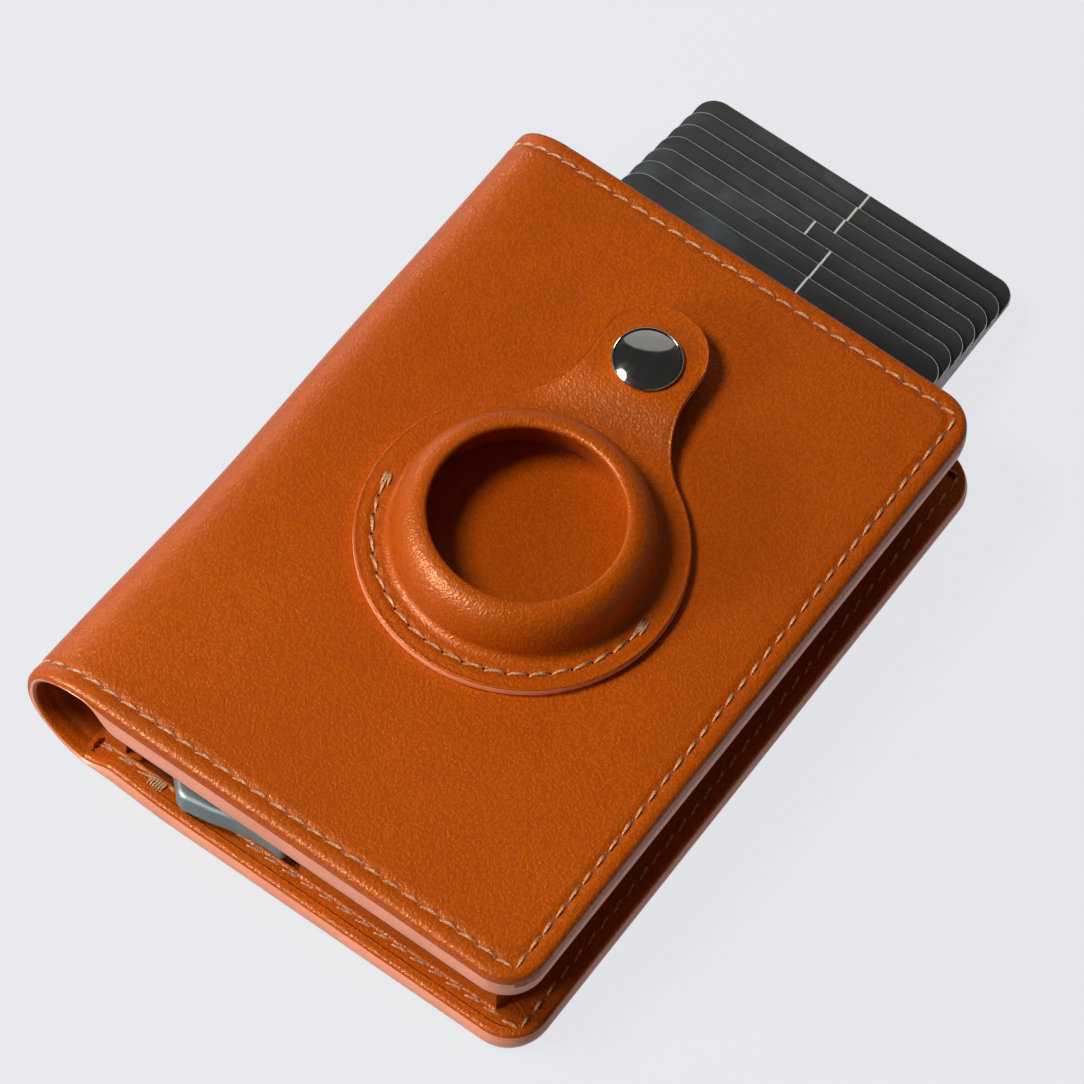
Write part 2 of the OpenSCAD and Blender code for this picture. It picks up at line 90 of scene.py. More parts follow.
lighting = {
    "lamps": {
        "keyLight": {"from": (-0.46, -0.29, 0.84), "distance": 0.9, "size": 0.28, "power": 6.6,
                     "colour": (1, 0.98, 0.95), "glossOnly": False},
        "frontLight": {"from": (-0.50, -0.78, 0.36), "distance": 0.9, "size": 0.22, "power": 4.4,
                       "colour": (1, 0.98, 0.96), "glossOnly": False},
        "backLight": {"from": (-0.42, 0.80, 0.48), "distance": 1.1, "size": 1.0, "power": 1.5,
                      "colour": (0.94, 0.97, 1), "glossOnly": False},
        "sheenLight": {"from": (-0.50, -0.66, 0.54), "distance": 0.9, "size": 0.34, "power": 52.0,
                       "colour": (1, 0.95, 0.9), "glossOnly": True},
        "foldLight": {"from": (-0.90, 0.38, 0.20), "distance": 0.9, "size": 0.30, "power": 3.2,
                      "colour": (1, 0.95, 0.9), "glossOnly": True},
    },
    "floorColour": (0.799, 0.807, 0.839),
    "floorGlow": 0.94,
    "floorBounce": 0.3,
    "skyLow": 0.22,
    "skyHigh": 0.07,
    "skyRange": (0.12, 0.62),
}


def addLight(name, values):
    away = Vector(values["from"]).normalized()
    data = bpy.data.lights.new(name, "AREA")
    data.shape = "DISK"
    data.size = values["size"]
    data.energy = values["power"]
    data.color = values["colour"]
    light = bpy.data.objects.new(name, data)
    turn = away.to_track_quat("Z", "Y").to_matrix().to_4x4()
    light.matrix_world = Matrix.Translation(away * values["distance"]) @ turn
    light.visible_diffuse = not values["glossOnly"]
    scene.collection.objects.link(light)


def addSky():
    world = bpy.data.worlds.new("studio")
    scene.world = world
    world.use_nodes = True
    tree = world.node_tree
    shade = tree.nodes["Background"]
    place = tree.nodes.new("ShaderNodeTexCoord")
    split = tree.nodes.new("ShaderNodeSeparateXYZ")
    ramp = tree.nodes.new("ShaderNodeMapRange")
    ramp.interpolation_type = "SMOOTHSTEP"
    ramp.inputs["From Min"].default_value = lighting["skyRange"][0]
    ramp.inputs["From Max"].default_value = lighting["skyRange"][1]
    ramp.inputs["To Min"].default_value = lighting["skyLow"]
    ramp.inputs["To Max"].default_value = lighting["skyHigh"]
    tree.links.new(place.outputs["Generated"], split.inputs[0])
    tree.links.new(split.outputs["Z"], ramp.inputs["Value"])
    tree.links.new(ramp.outputs["Result"], shade.inputs["Strength"])
    shade.inputs["Color"].default_value = (0.97, 0.98, 1, 1)


def addFloor():
    bm = bmesh.new()
    bmesh.ops.create_grid(bm, x_segments=1, y_segments=1, size=2.5)
    mesh = bpy.data.meshes.new("floor")
    bm.to_mesh(mesh)
    bm.free()
    floor = bpy.data.objects.new("floor", mesh)
    scene.collection.objects.link(floor)
    material = bpy.data.materials.new("floorPaint")
    material.use_nodes = True
    shader = material.node_tree.nodes["Principled BSDF"]
    shader.inputs["Base Color"].default_value = (0.05, 0.05, 0.05, 1)
    shader.inputs["Roughness"].default_value = 0.9
    shader.inputs["Specular IOR Level"].default_value = 0.05
    shader.inputs["Emission Color"].default_value = (*lighting["floorColour"], 1)
    tree = material.node_tree
    ray = tree.nodes.new("ShaderNodeLightPath")
    glow = tree.nodes.new("ShaderNodeMapRange")
    glow.inputs["To Min"].default_value = lighting["floorBounce"]
    glow.inputs["To Max"].default_value = lighting["floorGlow"]
    seen = tree.nodes.new("ShaderNodeMath")
    seen.operation = "MAXIMUM"
    tree.links.new(ray.outputs["Is Camera Ray"], seen.inputs[0])
    tree.links.new(ray.outputs["Is Glossy Ray"], seen.inputs[1])
    tree.links.new(seen.outputs[0], glow.inputs["Value"])
    tree.links.new(glow.outputs["Result"], shader.inputs["Emission Strength"])
    mesh.materials.append(material)
    floor.location.z = -0.0002


for lampName, lampValues in lighting["lamps"].items():
    addLight(lampName, lampValues)
addSky()
addFloor()
scene.view_settings.view_transform = "Standard"
print("lights and floor placed")


# Shader node groups

def newGroup(name, inputs, outputs):
    group = bpy.data.node_groups.new(name, "ShaderNodeTree")
    for label, kind, value in inputs:
        socket = group.interface.new_socket(label, in_out="INPUT", socket_type=kind)
        if value is not None:
            socket.default_value = value
    for label, kind in outputs:
        group.interface.new_socket(label, in_out="OUTPUT", socket_type=kind)
    return group, group.nodes.new("NodeGroupInput"), group.nodes.new("NodeGroupOutput")


def node(tree, kind, inputs=(), **settings):
    made = tree.nodes.new("ShaderNode" + kind)
    for key, value in settings.items():
        setattr(made, key, value)
    for key, value in dict(inputs).items():
        socket = made.inputs[key]
        if isinstance(value, bpy.types.NodeSocket):
            tree.links.new(value, socket)
        else:
            socket.default_value = value
    return made


def math2(tree, operation, a, b=0.0):
    return node(tree, "Math", {0: a, 1: b}, operation=operation).outputs[0]


def ranged(tree, value, low, high, toLow=0.0, toHigh=1.0):
    made = node(tree, "MapRange", {"Value": value, "From Min": low, "From Max": high, "To Min": toLow,
                                   "To Max": toHigh}, interpolation_type="SMOOTHSTEP")
    return made.outputs["Result"]


def grainGroup():
    tree, start, end = newGroup(
        "pebbleGrain",
        [("Vector", "NodeSocketVector", None), ("Cell Size", "NodeSocketFloat", 0.6),
         ("Softness", "NodeSocketFloat", 0.25)],
        [("Height", "NodeSocketFloat"), ("CreviceShade", "NodeSocketFloat"), ("Tone", "NodeSocketFloat")])
    perMetre = math2(tree, "DIVIDE", 1000.0, start.outputs["Cell Size"])
    warp = node(tree, "TexNoise", {"Vector": start.outputs["Vector"], "Scale": 420.0, "Detail": 2.0})
    shift = node(tree, "VectorMath", {0: warp.outputs["Color"], 1: (0.5, 0.5, 0.5)}, operation="SUBTRACT")
    small = node(tree, "VectorMath", {0: shift.outputs[0], "Scale": 0.0011}, operation="SCALE")
    moved = node(tree, "VectorMath", {0: start.outputs["Vector"], 1: small.outputs[0]}, operation="ADD")
    cells = node(tree, "TexVoronoi", {"Vector": moved.outputs[0], "Scale": perMetre},
                 feature="SMOOTH_F1")
    fineScale = math2(tree, "MULTIPLY", perMetre, 2.3)
    fineCells = node(tree, "TexVoronoi", {"Vector": moved.outputs[0], "Scale": fineScale},
                     feature="SMOOTH_F1")
    pores = node(tree, "TexNoise", {"Vector": start.outputs["Vector"], "Scale": 5200.0, "Detail": 3.0,
                                    "Roughness": 0.6})
    large = node(tree, "MapRange", {"Value": cells.outputs["Distance"], "From Min": 0.62,
                                    "From Max": start.outputs["Softness"]}, interpolation_type="SMOOTHSTEP")
    fine = node(tree, "MapRange", {"Value": fineCells.outputs["Distance"], "From Min": 0.6,
                                   "From Max": start.outputs["Softness"]}, interpolation_type="SMOOTHSTEP")
    height = math2(tree, "MULTIPLY", large.outputs[0], 0.62)
    height = math2(tree, "ADD", height, math2(tree, "MULTIPLY", fine.outputs[0], 0.26))
    height = math2(tree, "ADD", height, math2(tree, "MULTIPLY", pores.outputs["Fac"], 0.3))
    # Mask of the crevices between the pebbles, used only to paint shade into the grain's hollows
    creviceShade = math2(tree, "SUBTRACT", 1.0, large.outputs[0])
    tone = node(tree, "TexNoise", {"Vector": start.outputs["Vector"], "Scale": 34.0, "Detail": 5.0,
                                   "Roughness": 0.55})
    tree.links.new(height, end.inputs["Height"])
    tree.links.new(creviceShade, end.inputs["CreviceShade"])
    tree.links.new(tone.outputs["Fac"], end.inputs["Tone"])
    return tree


def wrinkleGroup():
    tree, start, end = newGroup(
        "softWrinkles",
        [("Vector", "NodeSocketVector", None), ("Size", "NodeSocketFloat", 3.0)],
        [("Height", "NodeSocketFloat")])
    perMetre = math2(tree, "DIVIDE", 1000.0, start.outputs["Size"])
    waves = node(tree, "TexNoise", {"Vector": start.outputs["Vector"], "Scale": perMetre, "Detail": 3.0,
                                    "Roughness": 0.5, "Distortion": 0.6})
    ridge = math2(tree, "ABSOLUTE", math2(tree, "SUBTRACT", waves.outputs["Fac"], 0.5))
    height = math2(tree, "SUBTRACT", 1.0, ranged(tree, ridge, 0.0, 0.16))
    tree.links.new(height, end.inputs["Height"])
    return tree


def speckleGroup():
    tree, start, end = newGroup(
        "fineSpeckle",
        [("Vector", "NodeSocketVector", None), ("Size", "NodeSocketFloat", 0.2)],
        [("Value", "NodeSocketFloat"), ("Cloud", "NodeSocketFloat")])
    perMetre = math2(tree, "DIVIDE", 1000.0, start.outputs["Size"])
    speck = node(tree, "TexNoise", {"Vector": start.outputs["Vector"], "Scale": perMetre, "Detail": 2.0})
    cloud = node(tree, "TexNoise", {"Vector": start.outputs["Vector"], "Scale": 90.0, "Detail": 4.0})
    tree.links.new(speck.outputs["Fac"], end.inputs["Value"])
    tree.links.new(cloud.outputs["Fac"], end.inputs["Cloud"])
    return tree


pebbleGrain = grainGroup()
softWrinkles = wrinkleGroup()
fineSpeckle = speckleGroup()


def placed(tree, group, inputs):
    made = tree.nodes.new("ShaderNodeGroup")
    made.node_tree = group
    for key, value in inputs.items():
        if isinstance(value, bpy.types.NodeSocket):
            tree.links.new(value, made.inputs[key])
        else:
            made.inputs[key].default_value = value
    return made


def newMaterial(name):
    material = bpy.data.materials.new(name)
    material.use_nodes = True
    tree = material.node_tree
    shader = tree.nodes["Principled BSDF"]
    place = node(tree, "TexCoord").outputs["Object"]
    return material, tree, shader, place


def feed(tree, shader, colour, roughness, normal=None):
    tree.links.new(colour, shader.inputs["Base Color"])
    tree.links.new(roughness, shader.inputs["Roughness"])
    if normal is not None:
        tree.links.new(normal, shader.inputs["Normal"])


def bumpFrom(tree, height, depth, strength, under=None):
    made = node(tree, "Bump", {"Height": height, "Distance": depth * mm, "Strength": strength})
    if under is not None:
        tree.links.new(under, made.inputs["Normal"])
    return made.outputs[0]


def mixColour(tree, amount, a, b):
    made = node(tree, "Mix", data_type="RGBA")
    colours = [s for s in made.inputs if s.type == "RGBA"]
    for socket, value in ((made.inputs[0], amount), (colours[0], a), (colours[1], b)):
        if isinstance(value, bpy.types.NodeSocket):
            tree.links.new(value, socket)
        else:
            socket.default_value = value if isinstance(value, float) else (*value, 1)
    return [s for s in made.outputs if s.type == "RGBA"][0]


# Materials

leatherLook = {
    "light": (0.490, 0.085, 0.0008),
    "dark": (0.415, 0.068, 0.0004),
    # painted shade: colour laid into the crevices between the pebbles
    "creviceShade": (0.290, 0.040, 0.0003),
    "roughness": (0.24, 0.40),
    "cell": 0.42,
    "grainDepth": 0.065,
    "wrinkle": 4.5,
    "wrinkleDepth": 0.015,
    "specular": 0.17,
    "specularTint": (1, 0.62, 0.36, 1),
}


def leatherMaterial(name, look=leatherLook):
    material, tree, shader, place = newMaterial(name)
    grain = placed(tree, pebbleGrain, {"Vector": place, "Cell Size": look["cell"], "Softness": 0.12})
    folds = placed(tree, softWrinkles, {"Vector": place, "Size": look["wrinkle"]})
    tone = ranged(tree, grain.outputs["Tone"], 0.3, 0.72)
    colour = mixColour(tree, tone, look["dark"], look["light"])
    # Painted shade: the crevices between the pebbles get the darker crease colour, on top of the bump
    creviceShadeAmount = math2(tree, "MULTIPLY", grain.outputs["CreviceShade"], 0.55)
    colour = mixColour(tree, creviceShadeAmount, colour, look["creviceShade"])
    rough = ranged(tree, grain.outputs["Height"], 0.2, 1.1, look["roughness"][1], look["roughness"][0])
    shader.inputs["Specular IOR Level"].default_value = look["specular"]
    shader.inputs["Specular Tint"].default_value = look["specularTint"]
    broad = bumpFrom(tree, folds.outputs["Height"], look["wrinkleDepth"], 1.0)
    fine = bumpFrom(tree, grain.outputs["Height"], look["grainDepth"], 1.0, broad)
    feed(tree, shader, colour, rough, fine)
    return material


edgeLook = {"light": (0.82, 0.29, 0.16), "dark": (0.70, 0.225, 0.115), "roughness": (0.34, 0.52)}


def edgeMaterial(name, look=edgeLook):
    material, tree, shader, place = newMaterial(name)
    speck = placed(tree, fineSpeckle, {"Vector": place, "Size": 0.45})
    colour = mixColour(tree, ranged(tree, speck.outputs["Cloud"], 0.3, 0.7), look["dark"], look["light"])
    rough = ranged(tree, speck.outputs["Value"], 0.2, 0.8, *look["roughness"])
    feed(tree, shader, colour, rough, bumpFrom(tree, speck.outputs["Value"], 0.03, 0.7))
    return material


threadLook = {"light": (0.68, 0.38, 0.20), "dark": (0.32, 0.11, 0.035), "roughness": (0.75, 0.5),
              "specular": 0.12}


def threadMaterial(name, look=threadLook):
    material, tree, shader, place = newMaterial(name)
    speck = placed(tree, fineSpeckle, {"Vector": place, "Size": 0.22})
    colour = mixColour(tree, ranged(tree, speck.outputs["Value"], 0.3, 0.7), look["dark"], look["light"])
    rough = ranged(tree, speck.outputs["Value"], 0.2, 0.8, *look["roughness"])
    shader.inputs["Specular IOR Level"].default_value = look["specular"]
    feed(tree, shader, colour, rough, bumpFrom(tree, speck.outputs["Value"], 0.05, 0.8))
    return material


# Two tones, a range of roughness and a fine bump; the other finishes differ only in their values
def plainMaterial(name, look):
    material, tree, shader, place = newMaterial(name)
    turned = node(tree, "Mapping", {"Vector": place, "Scale": look.get("stretch", (1, 1, 1))}).outputs[0]
    speck = placed(tree, fineSpeckle, {"Vector": turned, "Size": look.get("speck", 0.3)})
    colour = mixColour(tree, ranged(tree, speck.outputs["Cloud"], 0.3, 0.7), look["dark"], look["light"])
    rough = ranged(tree, speck.outputs["Value"], 0.25, 0.75, *look["roughness"])
    shader.inputs["Metallic"].default_value = look.get("metallic", 0.0)
    bump = bumpFrom(tree, speck.outputs["Value"], look["depth"], 0.8) if look["depth"] else None
    feed(tree, shader, colour, rough, bump)
    return material


plainLooks = {
    # dark finish of the needle-hole discs: painted shade for the inside of the holes
    "holeShadePaint": {"dark": (0.045, 0.009, 0.002), "light": (0.09, 0.018, 0.004), "roughness": (0.7, 0.9),
                   "depth": 0.01},
    "anodisedCase": {"dark": (0.10, 0.11, 0.115), "light": (0.15, 0.16, 0.17), "roughness": (0.34, 0.46),
                     "metallic": 0.9, "speck": 0.2, "depth": 0.006, "stretch": (1, 0.05, 1)},
    "leverCoat": {"dark": (0.085, 0.122, 0.132), "light": (0.135, 0.178, 0.188), "roughness": (0.42, 0.60),
                  "metallic": 0.1, "speck": 0.28, "depth": 0.03},
    "pinSteel": {"dark": (0.45, 0.45, 0.46), "light": (0.55, 0.55, 0.56), "roughness": (0.25, 0.35),
                 "metallic": 1.0, "speck": 0.2, "depth": 0.002},
    "nickelPlate": {"dark": (0.50, 0.49, 0.46), "light": (0.60, 0.59, 0.56), "roughness": (0.18, 0.28),
                    "metallic": 1.0, "speck": 0.3, "depth": 0.002},
    "polishedGunmetal": {"dark": (0.30, 0.285, 0.25), "light": (0.36, 0.345, 0.31), "roughness": (0.06, 0.12),
                         "metallic": 1.0, "speck": 1.2, "depth": 0.0},
    "blackFelt": {"dark": (0.010, 0.010, 0.011), "light": (0.022, 0.022, 0.024), "roughness": (0.85, 1.0),
                  "speck": 0.12, "depth": 0.1},
    "cardCore": {"dark": (0.34, 0.35, 0.35), "light": (0.60, 0.61, 0.61), "roughness": (0.4, 0.55),
                 "speck": 0.4, "depth": 0.003},
}

leather = leatherMaterial("tanLeather")
liningLook = {**leatherLook, "cell": 0.45, "light": (0.42, 0.085, 0.004), "dark": (0.34, 0.062, 0.002),
              "grainDepth": 0.03}
liningLeather = leatherMaterial("liningLeather", liningLook)
edgePaint = edgeMaterial("edgePaint")
thread = threadMaterial("waxedThread")
plain = {finish: plainMaterial(finish, look) for finish, look in plainLooks.items()}
print("materials made")


# Mesh helpers

def finishPiece(name, bm, materials, smoothAngle=35, recalc=True):
    bmesh.ops.scale(bm, vec=(mm, mm, mm), verts=bm.verts)
    if recalc:
        bmesh.ops.recalc_face_normals(bm, faces=bm.faces)
    mesh = bpy.data.meshes.new(name)
    bm.to_mesh(mesh)
    bm.free()
    mesh.shade_smooth()
    mesh.set_sharp_from_angle(angle=math.radians(smoothAngle))
    piece = bpy.data.objects.new(name, mesh)
    scene.collection.objects.link(piece)
    for material in materials:
        mesh.materials.append(material)
    return piece


def grow(bm, faces):
    made = bmesh.ops.extrude_face_region(bm, geom=faces)["geom"]
    verts = [v for v in made if isinstance(v, bmesh.types.BMVert)]
    return verts, [f for f in made if isinstance(f, bmesh.types.BMFace)]


# Gives a flat outline its thickness and breaks the rims
def thicken(bm, thick, bevel):
    bmesh.ops.translate(bm, vec=(0, 0, thick), verts=grow(bm, bm.faces[:])[0])
    bmesh.ops.recalc_face_normals(bm, faces=bm.faces)
    rims = [e for e in bm.edges if e.is_manifold and e.calc_face_angle() > 1.2]
    bmesh.ops.bevel(bm, geom=rims, offset=bevel, segments=2, profile=0.5, affect="EDGES", material=-1)


def smoothStep(x, low, high):
    t = min(1.0, max(0.0, (x - low) / (high - low)))
    return t * t * (3 - 2 * t)


# The two covers, drawn flat and wrapped round the fold

cover = {
    "height": 111.0,
    "cornerRadius": 6.0,
    "frontEdge": 39.6,
    "rearEdge": 41.5,
    "foldStart": -28.0,
    "foldWidth": 13.5,
    "foldMiddle": 11.0,
    "frontTop": 19.8,
    "foldSquare": 2.6,
    "waist": (1.85, 0.6),
    "rearStretch": 0.009,
    "frontThick": 6.35,
    "rearThick": 3.0,
    "rearLip": 1.12,
    "foldThick": 1.75,
    "arris": (0.95, 0.6),
    "edgeSwell": (0.16, 0.38),
    "edgeSlump": 0.22,
    "cornerSlump": (0.5, 13.0),
    "seamDip": 0.13,
    "holeDip": 0.17,
    "seamInset": 2.7,
    "seamPitch": 3.05,
    "ringWidth": 4.2,
    "edgeLines": (0, 0.09, 0.24, 0.44, 0.7, 1.0, 1.4, 1.8, 2.12, 2.4, 2.62, 2.78, 3.0, 3.28, 3.7, 4.2, 4.35,
                  5.0, 5.7),
    "step": 0.75,
}
halfHeight = cover["height"] / 2


def foldPoint(angle):
    t = math.radians(angle)
    power = 1.0 if angle < 0 else 2 / cover["foldSquare"]
    rise = cover["foldMiddle"] if angle < 0 else cover["frontTop"] - cover["foldMiddle"]
    x = cover["foldStart"] - cover["foldWidth"] * max(0.0, math.cos(t)) ** power
    z = cover["foldMiddle"] + math.copysign(rise * abs(math.sin(t)) ** power, angle)
    return Vector((x, 0, z))


# Pattern of one cover: u runs from its free edge to the middle of the fold, v up the cover
class CoverShape:
    def __init__(self, front):
        self.front = front
        edge = cover["frontEdge"] if front else cover["rearEdge"]
        side = 90 if front else -90
        count = 240
        fold = [foldPoint(side * (1 - k / count)) for k in range(count + 1)]
        level = fold[0].z
        self.flat = edge - cover["foldStart"]
        self.points = [Vector((edge, 0, level))] + fold
        self.lengths = [0.0]
        for a, b in zip(self.points, self.points[1:]):
            self.lengths.append(self.lengths[-1] + (b - a).length)
        self.total = self.lengths[-1]

    # Point and outward normal of the outer face's section at length u
    def section(self, u):
        u = min(u, self.total)
        if u <= self.flat:
            point = self.points[0] + Vector((-u, 0, 0))
            return point, Vector((0, 0, 1 if self.front else -1))
        low, high = 1, len(self.lengths) - 1
        while high - low > 1:
            middle = (low + high) // 2
            if self.lengths[middle] <= u:
                low = middle
            else:
                high = middle
        along = (u - self.lengths[low]) / max(1e-9, self.lengths[high] - self.lengths[low])
        point = self.points[low].lerp(self.points[high], along)
        before = self.points[max(1, low - 3)]
        after = self.points[min(len(self.points) - 1, high + 3)]
        tangent = (after - before).normalized()
        normal = Vector((tangent.z, 0, -tangent.x)) if self.front else Vector((-tangent.z, 0, tangent.x))
        if high >= len(self.points) - 2:
            normal = Vector((-1, 0, 0))
        return point, normal

    # The point at pattern place (u, v), that deep under the outer face. v runs from 0 to the height
    def place(self, u, v, depth):
        point, normal = self.section(u)
        flat = 1 - smoothStep(u, self.flat - 12, self.flat + 2)
        stretch = 0 if self.front else cover["rearStretch"] * flat
        y = (v - halfHeight) * (1 + stretch)
        waist, top = cover["waist"]
        pinch = (waist * smoothStep(y, -58, -8) + top * smoothStep(y, 5, 50)) / cover["foldWidth"]
        beyond = cover["foldStart"] - point.x
        x = point.x + max(0.0, beyond) * pinch
        return Vector((x - normal.x * depth, y, point.z - normal.z * depth))


frontShape = CoverShape(True)
rearShape = CoverShape(False)


def patternLines(length, bothEnds):
    lines = list(cover["edgeLines"])
    stop = length - lines[-1] if bothEnds else length
    count = round((stop - lines[-1]) / cover["step"])
    start = lines[-1]
    lines += [start + (stop - start) * k / count for k in range(1, count + 1)]
    if bothEnds:
        lines += [length - e for e in reversed(cover["edgeLines"][:-1])]
    return lines


# Moves a pattern place so that the rings near a free corner run round it.
# Gives the place, its distance from the edge and the way out
def roundedPlace(u, v):
    radius = cover["cornerRadius"]
    flip = v > halfHeight
    b = cover["height"] - v if flip else v
    out = Vector((-1, 0)) if u < b else Vector((0, -1))
    edge = min(u, b)
    a = u
    if a < radius and b < radius:
        ring = radius - edge
        share = (max(a, b) - edge) / max(1e-6, ring)
        angle = math.radians(45 + 45 * share * (1 if b < a else -1))
        out = Vector((-math.cos(angle), -math.sin(angle)))
        a, b = radius + out.x * ring, radius + out.y * ring
    if flip:
        b = cover["height"] - b
        out = Vector((out.x, -out.y))
    return a, b, edge, out


# Pattern places and directions of the stitches along three edges
def seamPlaces(shape):
    inset, pitch, height = cover["seamInset"], cover["seamPitch"], cover["height"]
    places = []
    length = shape.total - inset - 0.3
    count = round(length / pitch)
    for v in (inset, height - inset):
        places += [(inset + length * (k + 0.5) / count, v, (1, 0)) for k in range(count)]
    side = height - 2 * inset
    count = round(side / pitch)
    places += [(inset, inset + side * (k + 0.5) / count, (0, 1)) for k in range(count)]
    return places


def grooveTree(places):
    tree = kdtree.KDTree(len(places) * 2)
    half = cover["seamPitch"] / 2
    for k, (u, v, way) in enumerate(places):
        tree.insert((u + way[0] * half, v + way[1] * half, 0), 2 * k)
        tree.insert((u - way[0] * half, v - way[1] * half, 0), 2 * k + 1)
    tree.balance()
    return tree


def seamDip(tree, u, v, edge):
    near = abs(edge - cover["seamInset"])
    if near > 1.7:
        return 0.0
    dip = cover["seamDip"] * math.exp(-(near / 0.55) ** 2)
    found = tree.find((u, v, 0))
    dip += cover["holeDip"] * math.exp(-(found[2] / 0.5) ** 2)
    return dip - 0.05 * math.exp(-((near - 1.15) / 0.4) ** 2)


# The padded cover sinks a little at its free corners
def cornerSlump(u, v):
    depth, reach = cover["cornerSlump"]
    near = u * u + min(v, cover["height"] - v) ** 2
    return depth * math.exp(-near / (2 * reach ** 2))


def thickness(shape, u, edge):
    fold = smoothStep(u, shape.flat - 1.5, shape.flat + 4.5)
    if shape.front:
        full = cover["frontThick"]
        recess = 1.8 * smoothStep(edge, cover["ringWidth"], cover["ringWidth"] + 0.15)
        full -= recess
    else:
        full = cover["rearThick"] + cover["rearLip"] * (1 - smoothStep(edge, 1.5, 1.9))
    return full + (cover["foldThick"] - full) * fold


def buildCover(name, shape):
    us = patternLines(shape.total, False)
    vs = patternLines(cover["height"], True)
    bm = bmesh.new()
    bmesh.ops.create_grid(bm, x_segments=len(us) - 1, y_segments=len(vs) - 1, size=1)
    column = bm.verts.layers.int.new("column")
    row = bm.verts.layers.int.new("row")
    level = bm.verts.layers.int.new("level")
    for vert in bm.verts:
        vert[column] = round((vert.co.x + 1) / 2 * (len(us) - 1))
        vert[row] = round((vert.co.y + 1) / 2 * (len(vs) - 1))
    top = bm.faces[:]
    levels = 5
    for k in range(1, levels + 1):
        raisedVerts, top = grow(bm, top)
        for vert in raisedVerts:
            vert[level] = k
    tree = grooveTree(seamPlaces(shape))
    arris = cover["arris"][0 if shape.front else 1]
    for vert in bm.verts:
        a, b, edge, out = roundedPlace(us[vert[column]], vs[vert[row]])
        thick = thickness(shape, a, edge)
        fade = smoothStep(a, shape.flat + 2, shape.total - 3)
        round1 = min(arris + (0.75 - arris) * fade, thick * 0.45)
        round2 = min(0.6, thick * 0.3)
        if vert[level] == levels:
            depth = round1 - math.sqrt(max(0.0, round1 ** 2 - max(0.0, round1 - edge) ** 2))
            if shape.front:
                swell = noise.noise(Vector((a / 16, b / 16, 3.1)))
                wave = noise.noise(Vector((a / 5, b / 5, 7.7)))
                depth += (0.05 + 0.05 * swell + 0.02 * wave) * (1 - fade)
                depth += cover["edgeSlump"] * (1 - smoothStep(edge, 0, 6)) * (1 - fade)
                depth += cornerSlump(a, b)
            depth += seamDip(tree, a, b, edge)
        elif vert[level] == 0:
            depth = thick - round2 + math.sqrt(max(0.0, round2 ** 2 - max(0.0, round2 - edge) ** 2))
            if shape.front or edge > 1.2:
                depth -= seamDip(tree, a, b, edge) * 0.8
        else:
            share = vert[level] / levels
            depth = (thick - round2) * (1 - share) + round1 * share
            if shape.front:
                depth += cover["edgeSlump"] * share * (1 - fade)
                depth += cornerSlump(a, b) * share
            swell = cover["edgeSwell"][0 if shape.front else 1] * math.sin(math.pi * share) * (1 - fade)
            if a < shape.total - 0.1 or abs(out.y) < 0.5:
                a += out.x * swell
            b += out.y * swell
        vert.co = shape.place(a, b, depth)
    for face in bm.faces:
        ks = [v[level] for v in face.verts]
        edgeNear = max(min(us[v[column]], vs[v[row]], cover["height"] - vs[v[row]]) for v in face.verts)
        if min(ks) == levels:
            face.material_index = 0
        elif max(ks) == 0:
            face.material_index = 2 if shape.front or edgeNear > 2 else 0
        else:
            freeSide = all(v[column] == 0 for v in face.verts)
            paintTop = 3 if freeSide else levels - 1
            face.material_index = 0 if shape.front and max(ks) > paintTop else 1
    return finishPiece(name, bm, [leather, edgePaint, liningLeather], 50)


frontHide = buildCover("frontHide", frontShape)
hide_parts("front_cover_leather", "front_padding", "front_lining", "spine_leather")
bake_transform(frontHide)
rearHide = buildCover("rearHide", rearShape)
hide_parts("rear_cover_leather", "rear_board", "rear_lining", "spine_lining")
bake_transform(rearHide)
print("covers built")


# Stitches

stitch = {"length": 3.0, "radius": 0.235, "plies": 3, "turns": 0.85, "arch": 0.16, "slant": 9, "steps": 8,
          "hole": 0.36, "sink": 0.19}


def stitchTemplate():
    bm = bmesh.new()
    sides = 2 * stitch["plies"]
    step = bm.verts.layers.int.new("step")
    corner = bm.verts.layers.int.new("corner")
    made = bmesh.ops.create_circle(bm, cap_ends=True, segments=sides, radius=1)
    for k, vert in enumerate(made["verts"]):
        vert[corner] = k
    faces = bm.faces[:]
    for k in range(1, stitch["steps"] + 1):
        verts, faces = grow(bm, faces)
        for vert in verts:
            vert[step] = k
    for vert in bm.verts:
        along = 2 * vert[step] / stitch["steps"] - 1
        angle = math.tau * (vert[corner] / sides + stitch["turns"] * vert[step] / stitch["steps"] * 0.5)
        size = stitch["radius"] * (1.0 if vert[corner] % 2 else 0.72) * (1 - 0.35 * abs(along) ** 3)
        height = stitch["arch"] - 0.62 * abs(along) ** 3.5
        vert.co = Vector((along * stitch["length"] / 2, size * math.cos(angle),
                          height + size * math.sin(angle)))
    bmesh.ops.recalc_face_normals(bm, faces=bm.faces)
    mesh = bpy.data.meshes.new("stitchTemplate")
    bm.to_mesh(mesh)
    bm.free()
    return mesh


# Small dark disc sunk at each needle hole: painted shade standing in for the hole's dark inside
def holeShadeTemplate():
    bm = bmesh.new()
    bmesh.ops.create_cone(bm, cap_ends=True, segments=8, radius1=stitch["hole"],
                          radius2=stitch["hole"] * 0.5, depth=0.1)
    for face in bm.faces:
        face.material_index = 1
    mesh = bpy.data.meshes.new("holeShadeTemplate")
    bm.to_mesh(mesh)
    bm.free()
    return mesh


upward = Vector((0, 0, 1))
threadShape = stitchTemplate()
holeShadeShape = holeShadeTemplate()


def addShape(bm, mesh, place):
    before = len(bm.verts)
    bm.from_mesh(mesh)
    bm.verts.ensure_lookup_table()
    bmesh.ops.transform(bm, matrix=place, verts=bm.verts[before:])


